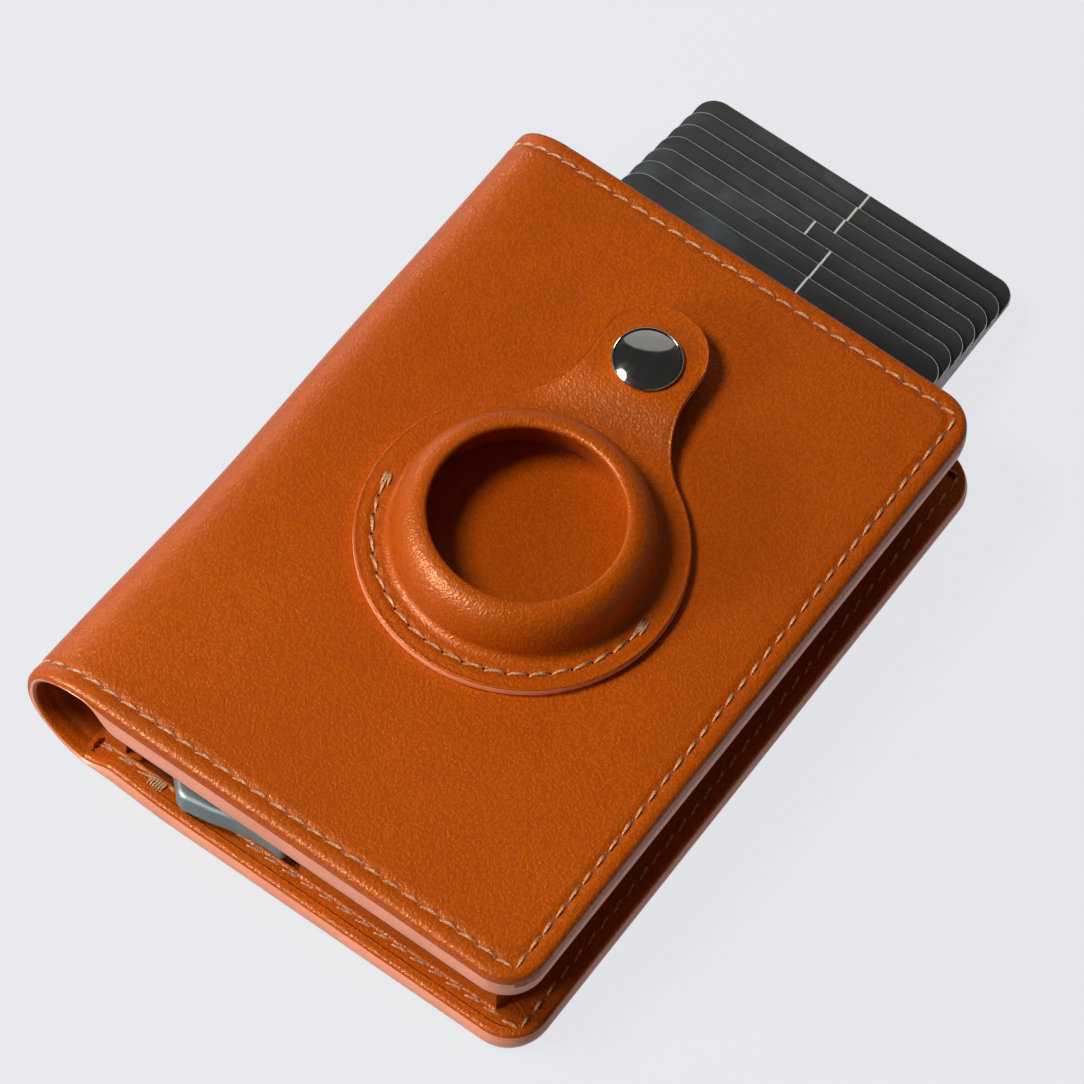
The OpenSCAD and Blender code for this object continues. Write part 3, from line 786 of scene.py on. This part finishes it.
def addStitch(bm, point, along, up, sink=0.0, paintHoleShade=True, turn=None):
    along = along.normalized()
    across = up.cross(along).normalized()
    up = along.cross(across).normalized()
    turn = math.radians(stitch["slant"] if turn is None else turn) + random.uniform(-0.04, 0.04)
    direction = along * math.cos(turn) + across * math.sin(turn)
    side = up.cross(direction)
    basis = Matrix((direction, side, up)).transposed().to_4x4()
    size = random.uniform(0.95, 1.04)
    addShape(bm, threadShape, Matrix.Translation(point - up * sink) @ basis @ Matrix.Scale(size, 4))
    # painted shade: a dark disc at the needle hole on each side of the stitch
    if paintHoleShade:
        for way in (-1, 1):
            spot = point + along * way * cover["seamPitch"] / 2 - up * (sink + 0.14)
            addShape(bm, holeShadeShape, Matrix.Translation(spot) @ basis)


def shapeStitch(bm, shape, place, depth, flip=False):
    u, v, way = place
    middle = shape.place(u, v, depth)
    ahead = shape.place(u + way[0] * 0.6, v + way[1] * 0.6, depth)
    behind = shape.place(u - way[0] * 0.6, v - way[1] * 0.6, depth)
    up = shape.section(u)[1]
    addStitch(bm, middle, ahead - behind, -up if flip else up)


def frontDrop(u, v):
    slump = cover["edgeSlump"] * (1 - smoothStep(cover["seamInset"], 0, 6))
    return stitch["sink"] + slump + cornerSlump(u, v)


bm = bmesh.new()
for place in seamPlaces(frontShape):
    shapeStitch(bm, frontShape, place, frontDrop(place[0], place[1]))
    if place[0] < frontShape.flat - 2:
        shapeStitch(bm, frontShape, place, cover["frontThick"] - 0.12, True)
frontSeam = finishPiece("frontSeam", bm, [thread, plain["holeShadePaint"]], 60, False)
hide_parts("front_stitching", "spine_stitching")
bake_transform(frontSeam)

bm = bmesh.new()
for place in seamPlaces(rearShape):
    shapeStitch(bm, rearShape, place, 0.56)
rearOuterSeam = finishPiece("rearOuterSeam", bm, [thread, plain["holeShadePaint"]], 60, False)
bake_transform(rearOuterSeam)

flangeSeam = {"top": 4.05, "inset": 2.15, "left": -31.0, "lever": (-21.0, -6.0)}
bm = bmesh.new()
rowY = halfHeight - flangeSeam["inset"]
rowX = cover["rearEdge"] - flangeSeam["inset"]


def flangeRun(x0, y0, x1, y1):
    start, stop = Vector((x0, y0, flangeSeam["top"])), Vector((x1, y1, flangeSeam["top"]))
    count = max(1, round((stop - start).length / cover["seamPitch"]))
    for k in range(count):
        addStitch(bm, start.lerp(stop, (k + 0.5) / count), stop - start, upward, 0.02)


flangeRun(flangeSeam["left"], -rowY, flangeSeam["lever"][0], -rowY)
flangeRun(flangeSeam["lever"][1], -rowY, rowX, -rowY)
flangeRun(rowX, -rowY, rowX, rowY)
flangeRun(rowX - 3.2, rowY, rowX, rowY)
for k in range(6):  # bar tack beside the lever
    spot = Vector((flangeSeam["lever"][0] - 0.6 + 0.42 * k, -rowY + 0.1 * (k % 2), flangeSeam["top"]))
    addStitch(bm, spot, Vector((0.25, 1, 0)), upward, -0.05, False)
flangeStitches = finishPiece("flangeSeam", bm, [thread, plain["holeShadePaint"]], 60, False)
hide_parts("rear_stitching")
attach(flangeStitches, "rear_cover")
print("seams built")


# Sleeve over the card case

sleeve = {
    "x0": -30.15, "x1": 35.15, "y0": -52.65, "mouth": 52.4, "top": 13.0, "foot": 4.1, "thick": 1.05,
    "round": 5.4, "lean": 0.25, "footRound": 0.5, "flangeLeft": -31.6, "flangeRight": 40.42,
    "flangeEnd": 54.42, "notch": (-26.3, 3.1), "endRound": 1.6, "cornerReach": 4.92,
}


# Distances and heights from the flange's edge, up the wall and onto the top
def sleeveProfile(start, flangeStart, wallRound):
    lift = sleeve["top"] - sleeve["foot"]
    points = [(flangeStart, sleeve["foot"])]
    gap = start - flangeStart
    points += [(flangeStart + gap * k / 3, sleeve["foot"]) for k in (1, 2)]
    points += [(start - sleeve["footRound"], sleeve["foot"]), (start - 0.15, sleeve["foot"] + 0.12),
               (start, sleeve["foot"] + 0.5)]
    straight = lift - wallRound
    points += [(start + sleeve["lean"] * k / 3, sleeve["foot"] + 0.5 + (straight - 0.5) * k / 3)
               for k in (1, 2, 3)]
    for k in range(1, 9):
        angle = math.radians(90 * k / 8)
        points.append((start + sleeve["lean"] + wallRound * (1 - math.cos(angle)),
                       sleeve["top"] - wallRound * (1 - math.sin(angle))))
    return points


def buildSleeve():
    left = sleeveProfile(sleeve["x0"], sleeve["flangeLeft"], sleeve["round"])
    right = [(-x, z) for x, z in sleeveProfile(-sleeve["x1"], -sleeve["flangeRight"], sleeve["round"])]
    low = sleeveProfile(sleeve["y0"], -sleeve["flangeEnd"], sleeve["endRound"])
    span = [left[-1][0] + (right[-1][0] - left[-1][0]) * k / 44 for k in range(1, 44)]
    across = left + [(x, sleeve["top"]) for x in span] + right[::-1]
    run = [low[-1][0] + (sleeve["mouth"] - low[-1][0]) * k / 76 for k in range(1, 77)]
    along = low + [(y, sleeve["top"]) for y in run]
    bm = bmesh.new()
    bmesh.ops.create_grid(bm, x_segments=len(across) - 1, y_segments=len(along) - 1, size=1)
    notch = []
    for vert in bm.verts:
        i = round((vert.co.x + 1) / 2 * (len(across) - 1))
        j = round((vert.co.y + 1) / 2 * (len(along) - 1))
        x, zx = across[i]
        y, zy = along[j]
        z = min(zx, zy)
        if z > sleeve["top"] - 0.5:
            z -= 0.08 + 0.06 * noise.noise(Vector((x / 14, y / 14, 1)))
        middleX, middleY = cover["rearEdge"] - cover["cornerRadius"], halfHeight - cover["cornerRadius"]
        corner = Vector((x - middleX, abs(y) - middleY))
        if corner.x > 0 and corner.y > 0 and corner.length > sleeve["cornerReach"]:
            corner = corner.normalized() * sleeve["cornerReach"]
            x, y = middleX + corner.x, math.copysign(middleY + corner.y, y)
        vert.co = Vector((x, y, z))
    bmesh.ops.remove_doubles(bm, verts=bm.verts, dist=0.005)
    for face in bm.faces:
        middle = face.calc_center_median()
        if sleeve["notch"][0] < middle.x < sleeve["notch"][1] and middle.y < sleeve["y0"] + 1.0:
            if sleeve["foot"] + 1.1 < middle.z < 10.9:
                notch.append(face)
    bmesh.ops.delete(bm, geom=notch, context="FACES")
    bmesh.ops.recalc_face_normals(bm, faces=bm.faces)
    if sum(f.normal.z for f in bm.faces) < 0:
        bmesh.ops.reverse_faces(bm, faces=bm.faces)
    bmesh.ops.solidify(bm, geom=bm.faces[:], thickness=sleeve["thick"])
    return finishPiece("sleeveLeather", bm, [leather], 50)


sleeveLeather = buildSleeve()
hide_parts("card_sleeve")
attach(sleeveLeather, "rear_cover")
print("sleeve built")


# Pouch ring with its tab

pouch = {
    "x": 1.2, "y": -1.1, "base": 19.8, "thick": 1.7, "flange": 23.0, "outer": 18.0, "inner": 16.3,
    "window": 13.5, "top": 9.5, "ceiling": 8.2, "wall": 3.5, "footRound": 1.4, "lipRound": 0.65,
    "ceilingRound": 1.6, "lean": 3.7, "reach": 32.1, "tabHalf": 7.6, "tabOver": 2.0, "fillet": 15.0,
    "tabLift": 2.6, "seam": 20.5, "steps": 384, "flangeRows": 16, "arris": 0.45,
}


def arcPoints(cx, cy, radius, start, stop, count):
    angles = [math.radians(start + (stop - start) * k / count) for k in range(count + 1)]
    return [(cx + radius * math.cos(a), cy + radius * math.sin(a)) for a in angles]


# Half outline of flange and tab as (angle from the tab's axis, radius), from the tip round to the flange
def tabOutline():
    half, fillet = pouch["tabHalf"], pouch["fillet"]
    side = half + fillet
    rise = math.sqrt((pouch["flange"] + fillet) ** 2 - side ** 2)
    corner = math.degrees(math.atan2(rise, side))
    end = pouch["reach"] + pouch["tabOver"]
    points = arcPoints(0, end, half, 90, 0, 24) + arcPoints(side, rise, fillet, 180, 180 + corner, 30)
    return [(math.atan2(x, y), math.hypot(x, y)) for x, y in points]


outline = tabOutline()


def flangeReach(angle):
    angle = abs(angle)
    if angle >= outline[-1][0]:
        return pouch["flange"]
    for (a0, r0), (a1, r1) in zip(outline, outline[1:]):
        if a0 <= angle <= a1:
            return r0 + (r1 - r0) * (angle - a0) / max(1e-9, a1 - a0)
    return outline[0][1]


# Closed section as (radius, height, flange share): the share is 0 at the foot and 1 at the flange's edge
def pouchSection():
    thick, foot = pouch["thick"], pouch["footRound"]
    footX = pouch["outer"] + foot
    rows, arris = pouch["flangeRows"], pouch["arris"]
    section = [(footX, 0.0, k / rows) for k in range(rows + 1)]
    section += [(footX, thick * 0.3, 1.0), (footX, thick * 0.65, 1.0)]
    section = [(r, h, (s, 0.0)) for r, h, s in section]
    section[rows] = (footX, 0.12, (1.0, -0.12))
    for k in range(5):
        angle = math.radians(90 * k / 4)
        out = -arris * (1 - math.cos(angle))
        section.append((footX, thick - arris + arris * math.sin(angle), (1.0, out)))
    section += [(footX, thick, (1 - k / rows, -arris * (1 - k / rows))) for k in range(1, rows + 1)]
    lip = pouch["lipRound"]
    upper = arcPoints(footX, thick + foot, foot, 270, 188, 7)[1:]
    across = pouch["outer"] + 0.1 - pouch["window"] - lip
    for k in range(19):
        angle = math.radians(86 * k / 18)
        upper.append((pouch["window"] + lip + across * math.cos(angle) ** 0.92,
                      pouch["wall"] + (pouch["top"] - pouch["wall"]) * math.sin(angle)))
    upper += arcPoints(pouch["window"] + lip, pouch["top"] - lip - 0.02, lip, 88, 180, 8)[1:]
    upper += [(pouch["window"] + 0.02, pouch["ceiling"] + 0.25), (pouch["window"] + 0.2, pouch["ceiling"])]
    upper += arcPoints(pouch["inner"] - pouch["ceilingRound"], pouch["ceiling"] - pouch["ceilingRound"],
                       pouch["ceilingRound"], 90, 0, 6)
    upper += [(pouch["inner"], 3.0), (pouch["inner"], 0.0), (pouch["inner"] + 1.4, 0.0)]
    return section + [(r, h, None) for r, h in upper]


def buildPouch():
    section = pouchSection()
    bm = bmesh.new()
    index = bm.verts.layers.int.new("index")
    for k, (r, h, share) in enumerate(section):
        vert = bm.verts.new((r, 0, h))
        vert[index] = k
    bm.verts.ensure_lookup_table()
    edges = [bm.edges.new((bm.verts[k], bm.verts[(k + 1) % len(section)])) for k in range(len(section))]
    bmesh.ops.spin(bm, geom=bm.verts[:] + edges, cent=(0, 0, 0), axis=(0, 0, 1), dvec=(0, 0, 0),
                   angle=math.tau, steps=pouch["steps"], use_merge=True)
    lean = math.radians(pouch["lean"])
    liftStart, liftStop = pouch["outer"] + 0.4, pouch["reach"] - 3.0
    seamTree = grooveRing()
    for vert in bm.verts:
        k = vert[index]
        r, h, share = section[k]
        flat = math.atan2(vert.co.x, vert.co.y)
        angle = flat - 0.5 * math.sin(flat)
        if share is not None:
            reach = flangeReach(angle)
            radius = r + (reach - r) * share[0] + share[1]
        else:
            radius = r
        x, y = radius * math.sin(angle), radius * math.cos(angle)
        z = h
        if y > liftStart:
            z += pouch["tabLift"] * smoothStep(y, liftStart, liftStop) if share is not None else 0
        if share is not None and h >= pouch["thick"] - 0.01:
            toEdge = (1 - share[0]) * (flangeReach(angle) - r)
            z -= 0.10 * math.exp(-((toEdge - 0.2) / 0.8) ** 2)
            fromSeam = abs(radius - pouch["seam"])
            if abs(angle) > math.radians(92) and fromSeam < 1.8:
                z -= 0.14 * math.exp(-(fromSeam / 0.5) ** 2)
                z -= 0.16 * math.exp(-(seamTree.find((x, y, 0))[2] / 0.55) ** 2)
        if share is None and h > 2.5 and r > pouch["window"] + 0.3:
            bulge = 0.07 * noise.noise(Vector((x / 5, y / 5, h / 5)))
            z += min(0.0, bulge) if h > pouch["top"] - 0.2 else bulge
        vert.co = Vector((x * math.cos(lean) - y * math.sin(lean) + pouch["x"],
                          x * math.sin(lean) + y * math.cos(lean) + pouch["y"], z + pouch["base"]))
    edgeStart = pouch["flangeRows"]
    for face in bm.faces:
        ks = [v[index] for v in face.verts]
        if min(ks) >= edgeStart and max(ks) <= edgeStart + 4:
            face.material_index = 1
    return finishPiece("pouchLeather", bm, [leather, edgePaint], 60)


# Angles from the tab's axis of the stitches on the lower half of the flange
def ringSeam():
    start, stop = 96.0, 264.0
    count = round(math.radians(stop - start) * pouch["seam"] / cover["seamPitch"])
    return [math.radians(start + (stop - start) * (k + 0.5) / count) for k in range(count)]


def grooveRing():
    angles = ringSeam()
    half = cover["seamPitch"] / 2 / pouch["seam"]
    spots = [a + way * half for a in angles for way in (-1, 1)]
    tree = kdtree.KDTree(len(spots))
    for k, a in enumerate(spots):
        tree.insert((pouch["seam"] * math.sin(a), pouch["seam"] * math.cos(a), 0), k)
    tree.balance()
    return tree


pouchLeather = buildPouch()
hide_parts("tracker_pouch", "pouch_flap")
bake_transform(pouchLeather)

def ringPlace(angle, radius, drop):
    x, y = pouch["x"] + radius * math.sin(angle), pouch["y"] + radius * math.cos(angle)
    return Vector((x, y, pouch["base"] + pouch["thick"] - drop))


bm = bmesh.new()
lean = math.radians(pouch["lean"])
for turn in ringSeam():
    angle = turn - lean
    along = Vector((math.cos(angle), -math.sin(angle), 0))
    addStitch(bm, ringPlace(angle, pouch["seam"], 0.13), along, upward)
for turn in (ringSeam()[0] - 0.06, ringSeam()[-1] + 0.06):  # back stitches at both ends
    angle = turn - lean
    along = Vector((math.cos(angle), -math.sin(angle), 0))
    for k in range(3):
        spot = ringPlace(angle, pouch["seam"] + 0.42 * (k - 1), 0)
        addStitch(bm, spot, along, upward, 0.05, False, 14 - 4 * k)
pouchSeam = finishPiece("pouchSeam", bm, [thread, plain["holeShadePaint"]], 60, False)
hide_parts("pouch_stitching")
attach(pouchSeam, "front_cover")
print("pouch built")


# Press stud cap

cap = {"radius": 5.05, "rim": 0.42, "crown": 0.98, "crownFoot": 0.62, "post": 1.5, "postTop": 4.3,
       "postFoot": 2.02, "steps": 96}
studX = pouch["x"] - pouch["reach"] * math.sin(lean)
studY = pouch["y"] + pouch["reach"] * math.cos(lean)


def spunPiece(name, section, steps, materials, smoothAngle):
    bm = bmesh.new()
    verts = [bm.verts.new((r, 0, z)) for r, z in section]
    edges = [bm.edges.new(pair) for pair in zip(verts, verts[1:])]
    bmesh.ops.spin(bm, geom=verts + edges, cent=(0, 0, 0), axis=(0, 0, 1), dvec=(0, 0, 0), angle=math.tau,
                   steps=steps, use_merge=True)
    bmesh.ops.remove_doubles(bm, verts=bm.verts, dist=0.0005)
    bmesh.ops.translate(bm, vec=(studX, studY, pouch["base"]), verts=bm.verts)
    return finishPiece(name, bm, materials, smoothAngle)


def capSection():
    base = cap["postTop"]
    edge = cap["radius"] - cap["rim"]
    crown = cap["crown"]
    ball = (edge ** 2 + crown ** 2) / (2 * crown)
    dome = []
    for k in range(21):
        r = edge * k / 20
        dome.append((r, base + cap["crownFoot"] + math.sqrt(ball ** 2 - r ** 2) - ball + crown))
    rim = arcPoints(edge, base + cap["rim"] - 0.02, cap["rim"], 75, -80, 10)
    post = [(edge - 0.6, base), (cap["post"], base), (cap["post"], cap["postFoot"]), (0, cap["postFoot"])]
    return dome + rim + post


snapCap = spunPiece("snapCapShell", capSection(), cap["steps"], [plain["polishedGunmetal"]], 60)
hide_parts("snap_cap")
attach(snapCap, "flap")
print("press stud built")


# Cards

cards = {"width": 54.0, "length": 85.6, "thick": 0.76, "round": 3.2, "x": 2.5, "foot": -34.08,
         "rise": (11.6, 3.32), "stripe": 0.34, "bevel": 0.11, "dark": (0.011, 0.011, 0.010),
         "block": (0.066, 0.082, 0.086), "print": (0.62, 0.62, 0.6),
         "stripes": {1: 3.2, 2: 3.1, 3: 2.9, 4: -1.9, 5: 1.15, 6: 1.15, 7: 1.15}}


def cardRise(number):
    return cards["rise"][0] + cards["rise"][1] * (number - 1)


def cardMaterial(number):
    material, tree, shader, place = newMaterial("cardFace%d" % number)
    split = node(tree, "SeparateXYZ", {0: place})
    blocks = node(tree, "Mapping", {"Vector": place, "Scale": (0.7, 1, 0), "Rotation": (0, 0, 0.35),
                                    "Location": (0.013 * number, 0.009 * number, 0)})
    cell = node(tree, "TexVoronoi", {"Vector": blocks.outputs[0], "Scale": 150.0}, distance="CHEBYCHEV")
    cloud = node(tree, "TexNoise", {"Vector": place, "Scale": 60.0, "Detail": 6.0, "Roughness": 0.6})
    grey = node(tree, "SeparateColor", {0: cell.outputs["Color"]})
    amount = math2(tree, "MULTIPLY", grey.outputs[0], ranged(tree, cloud.outputs["Fac"], 0.35, 0.65))
    side = ranged(tree, split.outputs["X"], -0.022, 0.012, 1.0, 0.12)
    colour = mixColour(tree, math2(tree, "MULTIPLY", amount, side), cards["dark"], cards["block"])
    middle = (cards["x"] + cards["stripes"][number]) * mm
    apart = math2(tree, "ABSOLUTE", math2(tree, "SUBTRACT", split.outputs["X"], middle))
    mask = math2(tree, "LESS_THAN", apart, cards["stripe"] / 2 * mm)
    colour = mixColour(tree, mask, colour, cards["print"])
    feed(tree, shader, colour, ranged(tree, cloud.outputs["Fac"], 0.3, 0.7, 0.42, 0.55))
    return material


def buildCard(number):
    name = "card_%d" % number
    low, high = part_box(name)
    middle = (low + high) / 2 / mm
    size = Vector((cards["width"], cards["length"])) / 2
    bm = bmesh.new()
    bmesh.ops.create_grid(bm, x_segments=1, y_segments=1, size=1)
    for vert in bm.verts:
        vert.co = Vector((middle.x + vert.co.x * size.x, middle.y + vert.co.y * size.y, low.z / mm))
    bmesh.ops.bevel(bm, geom=bm.verts[:], offset=cards["round"], segments=10, profile=0.5,
                    affect="VERTICES", material=-1)
    thicken(bm, cards["thick"], cards["bevel"])
    for face in bm.faces:
        face.material_index = 0 if abs(face.normal.z) > 0.97 else 1
    card = finishPiece("cardShell%d" % number, bm, [cardMaterial(number), plain["cardCore"]], 30)
    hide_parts(name)
    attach(card, name)


for number in range(1, 8):
    buildCard(number)
print("cards built")


# Lever

lever = {"x": -21.0, "y": -46.5, "hub": 2.9, "heel": (6.1, -6.9, 2.1), "toe": (20.4, -6.0, 0.9),
         "round": 1.5, "paddle": (5.7, 9.9), "turn": 52.0, "armFoot": 4.3, "armPitch": 0.9, "armReach": 30.0,
         "armGap": 0.04, "armRound": 0.06, "camGap": 0.4}


# Points of the arm's pushing edge for one card, in the pushed-in pose
def camEdge(number):
    perTurn = cardRise(number) / math.radians(lever["turn"])
    points = []
    for k in range(15):
        swing = lever["turn"] * k / 14
        high = cards["foot"] - lever["camGap"] - lever["y"] + perTurn * math.radians(swing)
        back = math.radians(lever["turn"] - swing)
        x = perTurn * math.cos(back) - high * math.sin(back)
        y = perTurn * math.sin(back) + high * math.cos(back)
        if math.hypot(x, y) <= lever["armReach"]:
            points.append((x, y))
    return points


def raised(bm, ring, low, high, rounding, segments):
    face = bm.faces.new([bm.verts.new((x + lever["x"], y + lever["y"], low)) for x, y in ring])
    verts = grow(bm, [face])[0]
    bmesh.ops.translate(bm, vec=(0, 0, high - low), verts=verts)
    bmesh.ops.recalc_face_normals(bm, faces=bm.faces)
    near = set(verts) | set(face.verts)
    rims = []
    for edge in bm.edges:
        a, b = edge.verts
        if a in near and b in near and abs(a.co.z - b.co.z) < 0.01:
            rims.append(edge)
    bmesh.ops.bevel(bm, geom=rims, offset=rounding, segments=segments, profile=0.5, affect="EDGES",
                    material=-1, clamp_overlap=True)


def paddleRing():
    hx, hy, hr = lever["heel"]
    tx, ty, tr = lever["toe"]
    ring = arcPoints(0, 0, lever["hub"], 60, 205, 12) + arcPoints(hx, hy, hr, 212, 290, 10)
    under = ((0.25, 0.1), (0.45, 0.45), (0.65, 0.62), (0.85, 0.45))
    startX, startY = ring[-1]
    ring += [(startX + (tx - startX) * s, startY + (ty - tr - startY) * s + lift) for s, lift in under]
    ring += arcPoints(tx, ty, tr, 285, 430, 6)
    return ring + [(tx * s, (ty + tr) * s + 2.6 * (1 - s)) for s in (0.75, 0.5, 0.3)]


def buildLever():
    bm = bmesh.new()
    raised(bm, paddleRing(), *lever["paddle"], lever["round"], 5)
    hub = arcPoints(0, 0, lever["hub"], lever["turn"] + 90, lever["turn"] + 270, 2)
    for number in range(1, 8):  # one arm for each card
        low = lever["armFoot"] + (7 - number) * lever["armPitch"]
        high = low + lever["armPitch"] - lever["armGap"]
        raised(bm, hub + camEdge(number)[::-1], low, high, lever["armRound"], 1)
    return finishPiece("leverBody", bm, [plain["leverCoat"]], 40)


leverBody = buildLever()
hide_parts("eject_lever")
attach(leverBody, "lever")
print("lever built")


# Inside of the front cover

inside = {"inset": 4.5, "left": -27.5, "noteZ": (14.35, 15.2), "noteRound": 2.0, "noteBevel": 0.2,
          "slotTop": 14.3, "slotStep": 0.29, "slotThick": 0.28, "slotRound": 1.6, "slotBevel": 0.1,
          "slots": (74, 60, 46), "thumb": (9.0, 3.0)}
edgeIn = halfHeight - inside["inset"]
rightIn = cover["frontEdge"] - inside["inset"]


# Cuts a round dip for the thumb into the top edge of a flat outline
def addThumbDip(bm, left, right, top):
    radius, above = inside["thumb"]
    corners = [v.co.copy() for v in bm.faces[:][0].verts]
    level = corners[0].z
    bm.clear()
    ring = []
    for a, b in zip(corners, corners[1:] + corners[:1]):
        ring.append((a.x, a.y))
        if min(a.y, b.y) > top - 0.01 and abs(a.x - b.x) > 3 * radius:
            turns = (180, 360) if b.x > a.x else (360, 180)
            dip = arcPoints((left + right) / 2, top + above, radius, *turns, 24)
            ring += [(x, y) for x, y in dip if y < top]
    bm.faces.new([bm.verts.new((x, y, level)) for x, y in ring])


def insidePanel(name, right, top, z0, z1, rounding, bevel, thumb=False):
    left = inside["left"]
    bm = bmesh.new()
    bmesh.ops.create_grid(bm, x_segments=1, y_segments=1, size=1)
    for vert in bm.verts:
        vert.co = Vector((right if vert.co.x > 0 else left, top if vert.co.y > 0 else -edgeIn, z0))
    corners = [v for v in bm.verts if v.co.x > left + 1]
    bmesh.ops.bevel(bm, geom=corners, offset=rounding, segments=6, profile=0.5, affect="VERTICES",
                    material=-1)
    if thumb:
        addThumbDip(bm, left, right, top)
    thicken(bm, z1 - z0, bevel)
    return finishPiece(name, bm, [leather], 40)


notePocket = insidePanel("notePocket", rightIn, edgeIn, *inside["noteZ"], inside["noteRound"],
                         inside["noteBevel"], True)
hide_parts("note_pocket_panel")
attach(notePocket, "front_cover")
for k, high in enumerate(inside["slots"]):
    z1 = inside["slotTop"] - inside["slotStep"] * k
    slotPanel = insidePanel("cardSlot%d" % (k + 1), rightIn - 0.05 * k, high - halfHeight,
                            z1 - inside["slotThick"], z1, inside["slotRound"], inside["slotBevel"])
    if k == 0:
        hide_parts("card_slot_panel")
    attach(slotPanel, "front_cover")
print("pockets built")


# Finishes of the parts kept from the frame

kept = {"anodisedCase": ("case_tube", "case_end_cap"), "blackFelt": ("friction_felts",),
        "pinSteel": ("lever_pin", "snap_spring"), "nickelPlate": ("snap_stud", "stud_rivet", "snap_socket")}
for finish, names in kept.items():
    for name in names:
        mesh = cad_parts[name].data
        if not mesh.materials:
            mesh.materials.append(plain[finish])
        for k in range(len(mesh.materials)):
            mesh.materials[k] = plain[finish]
print("kept parts finished")

bpy.context.view_layer.update()
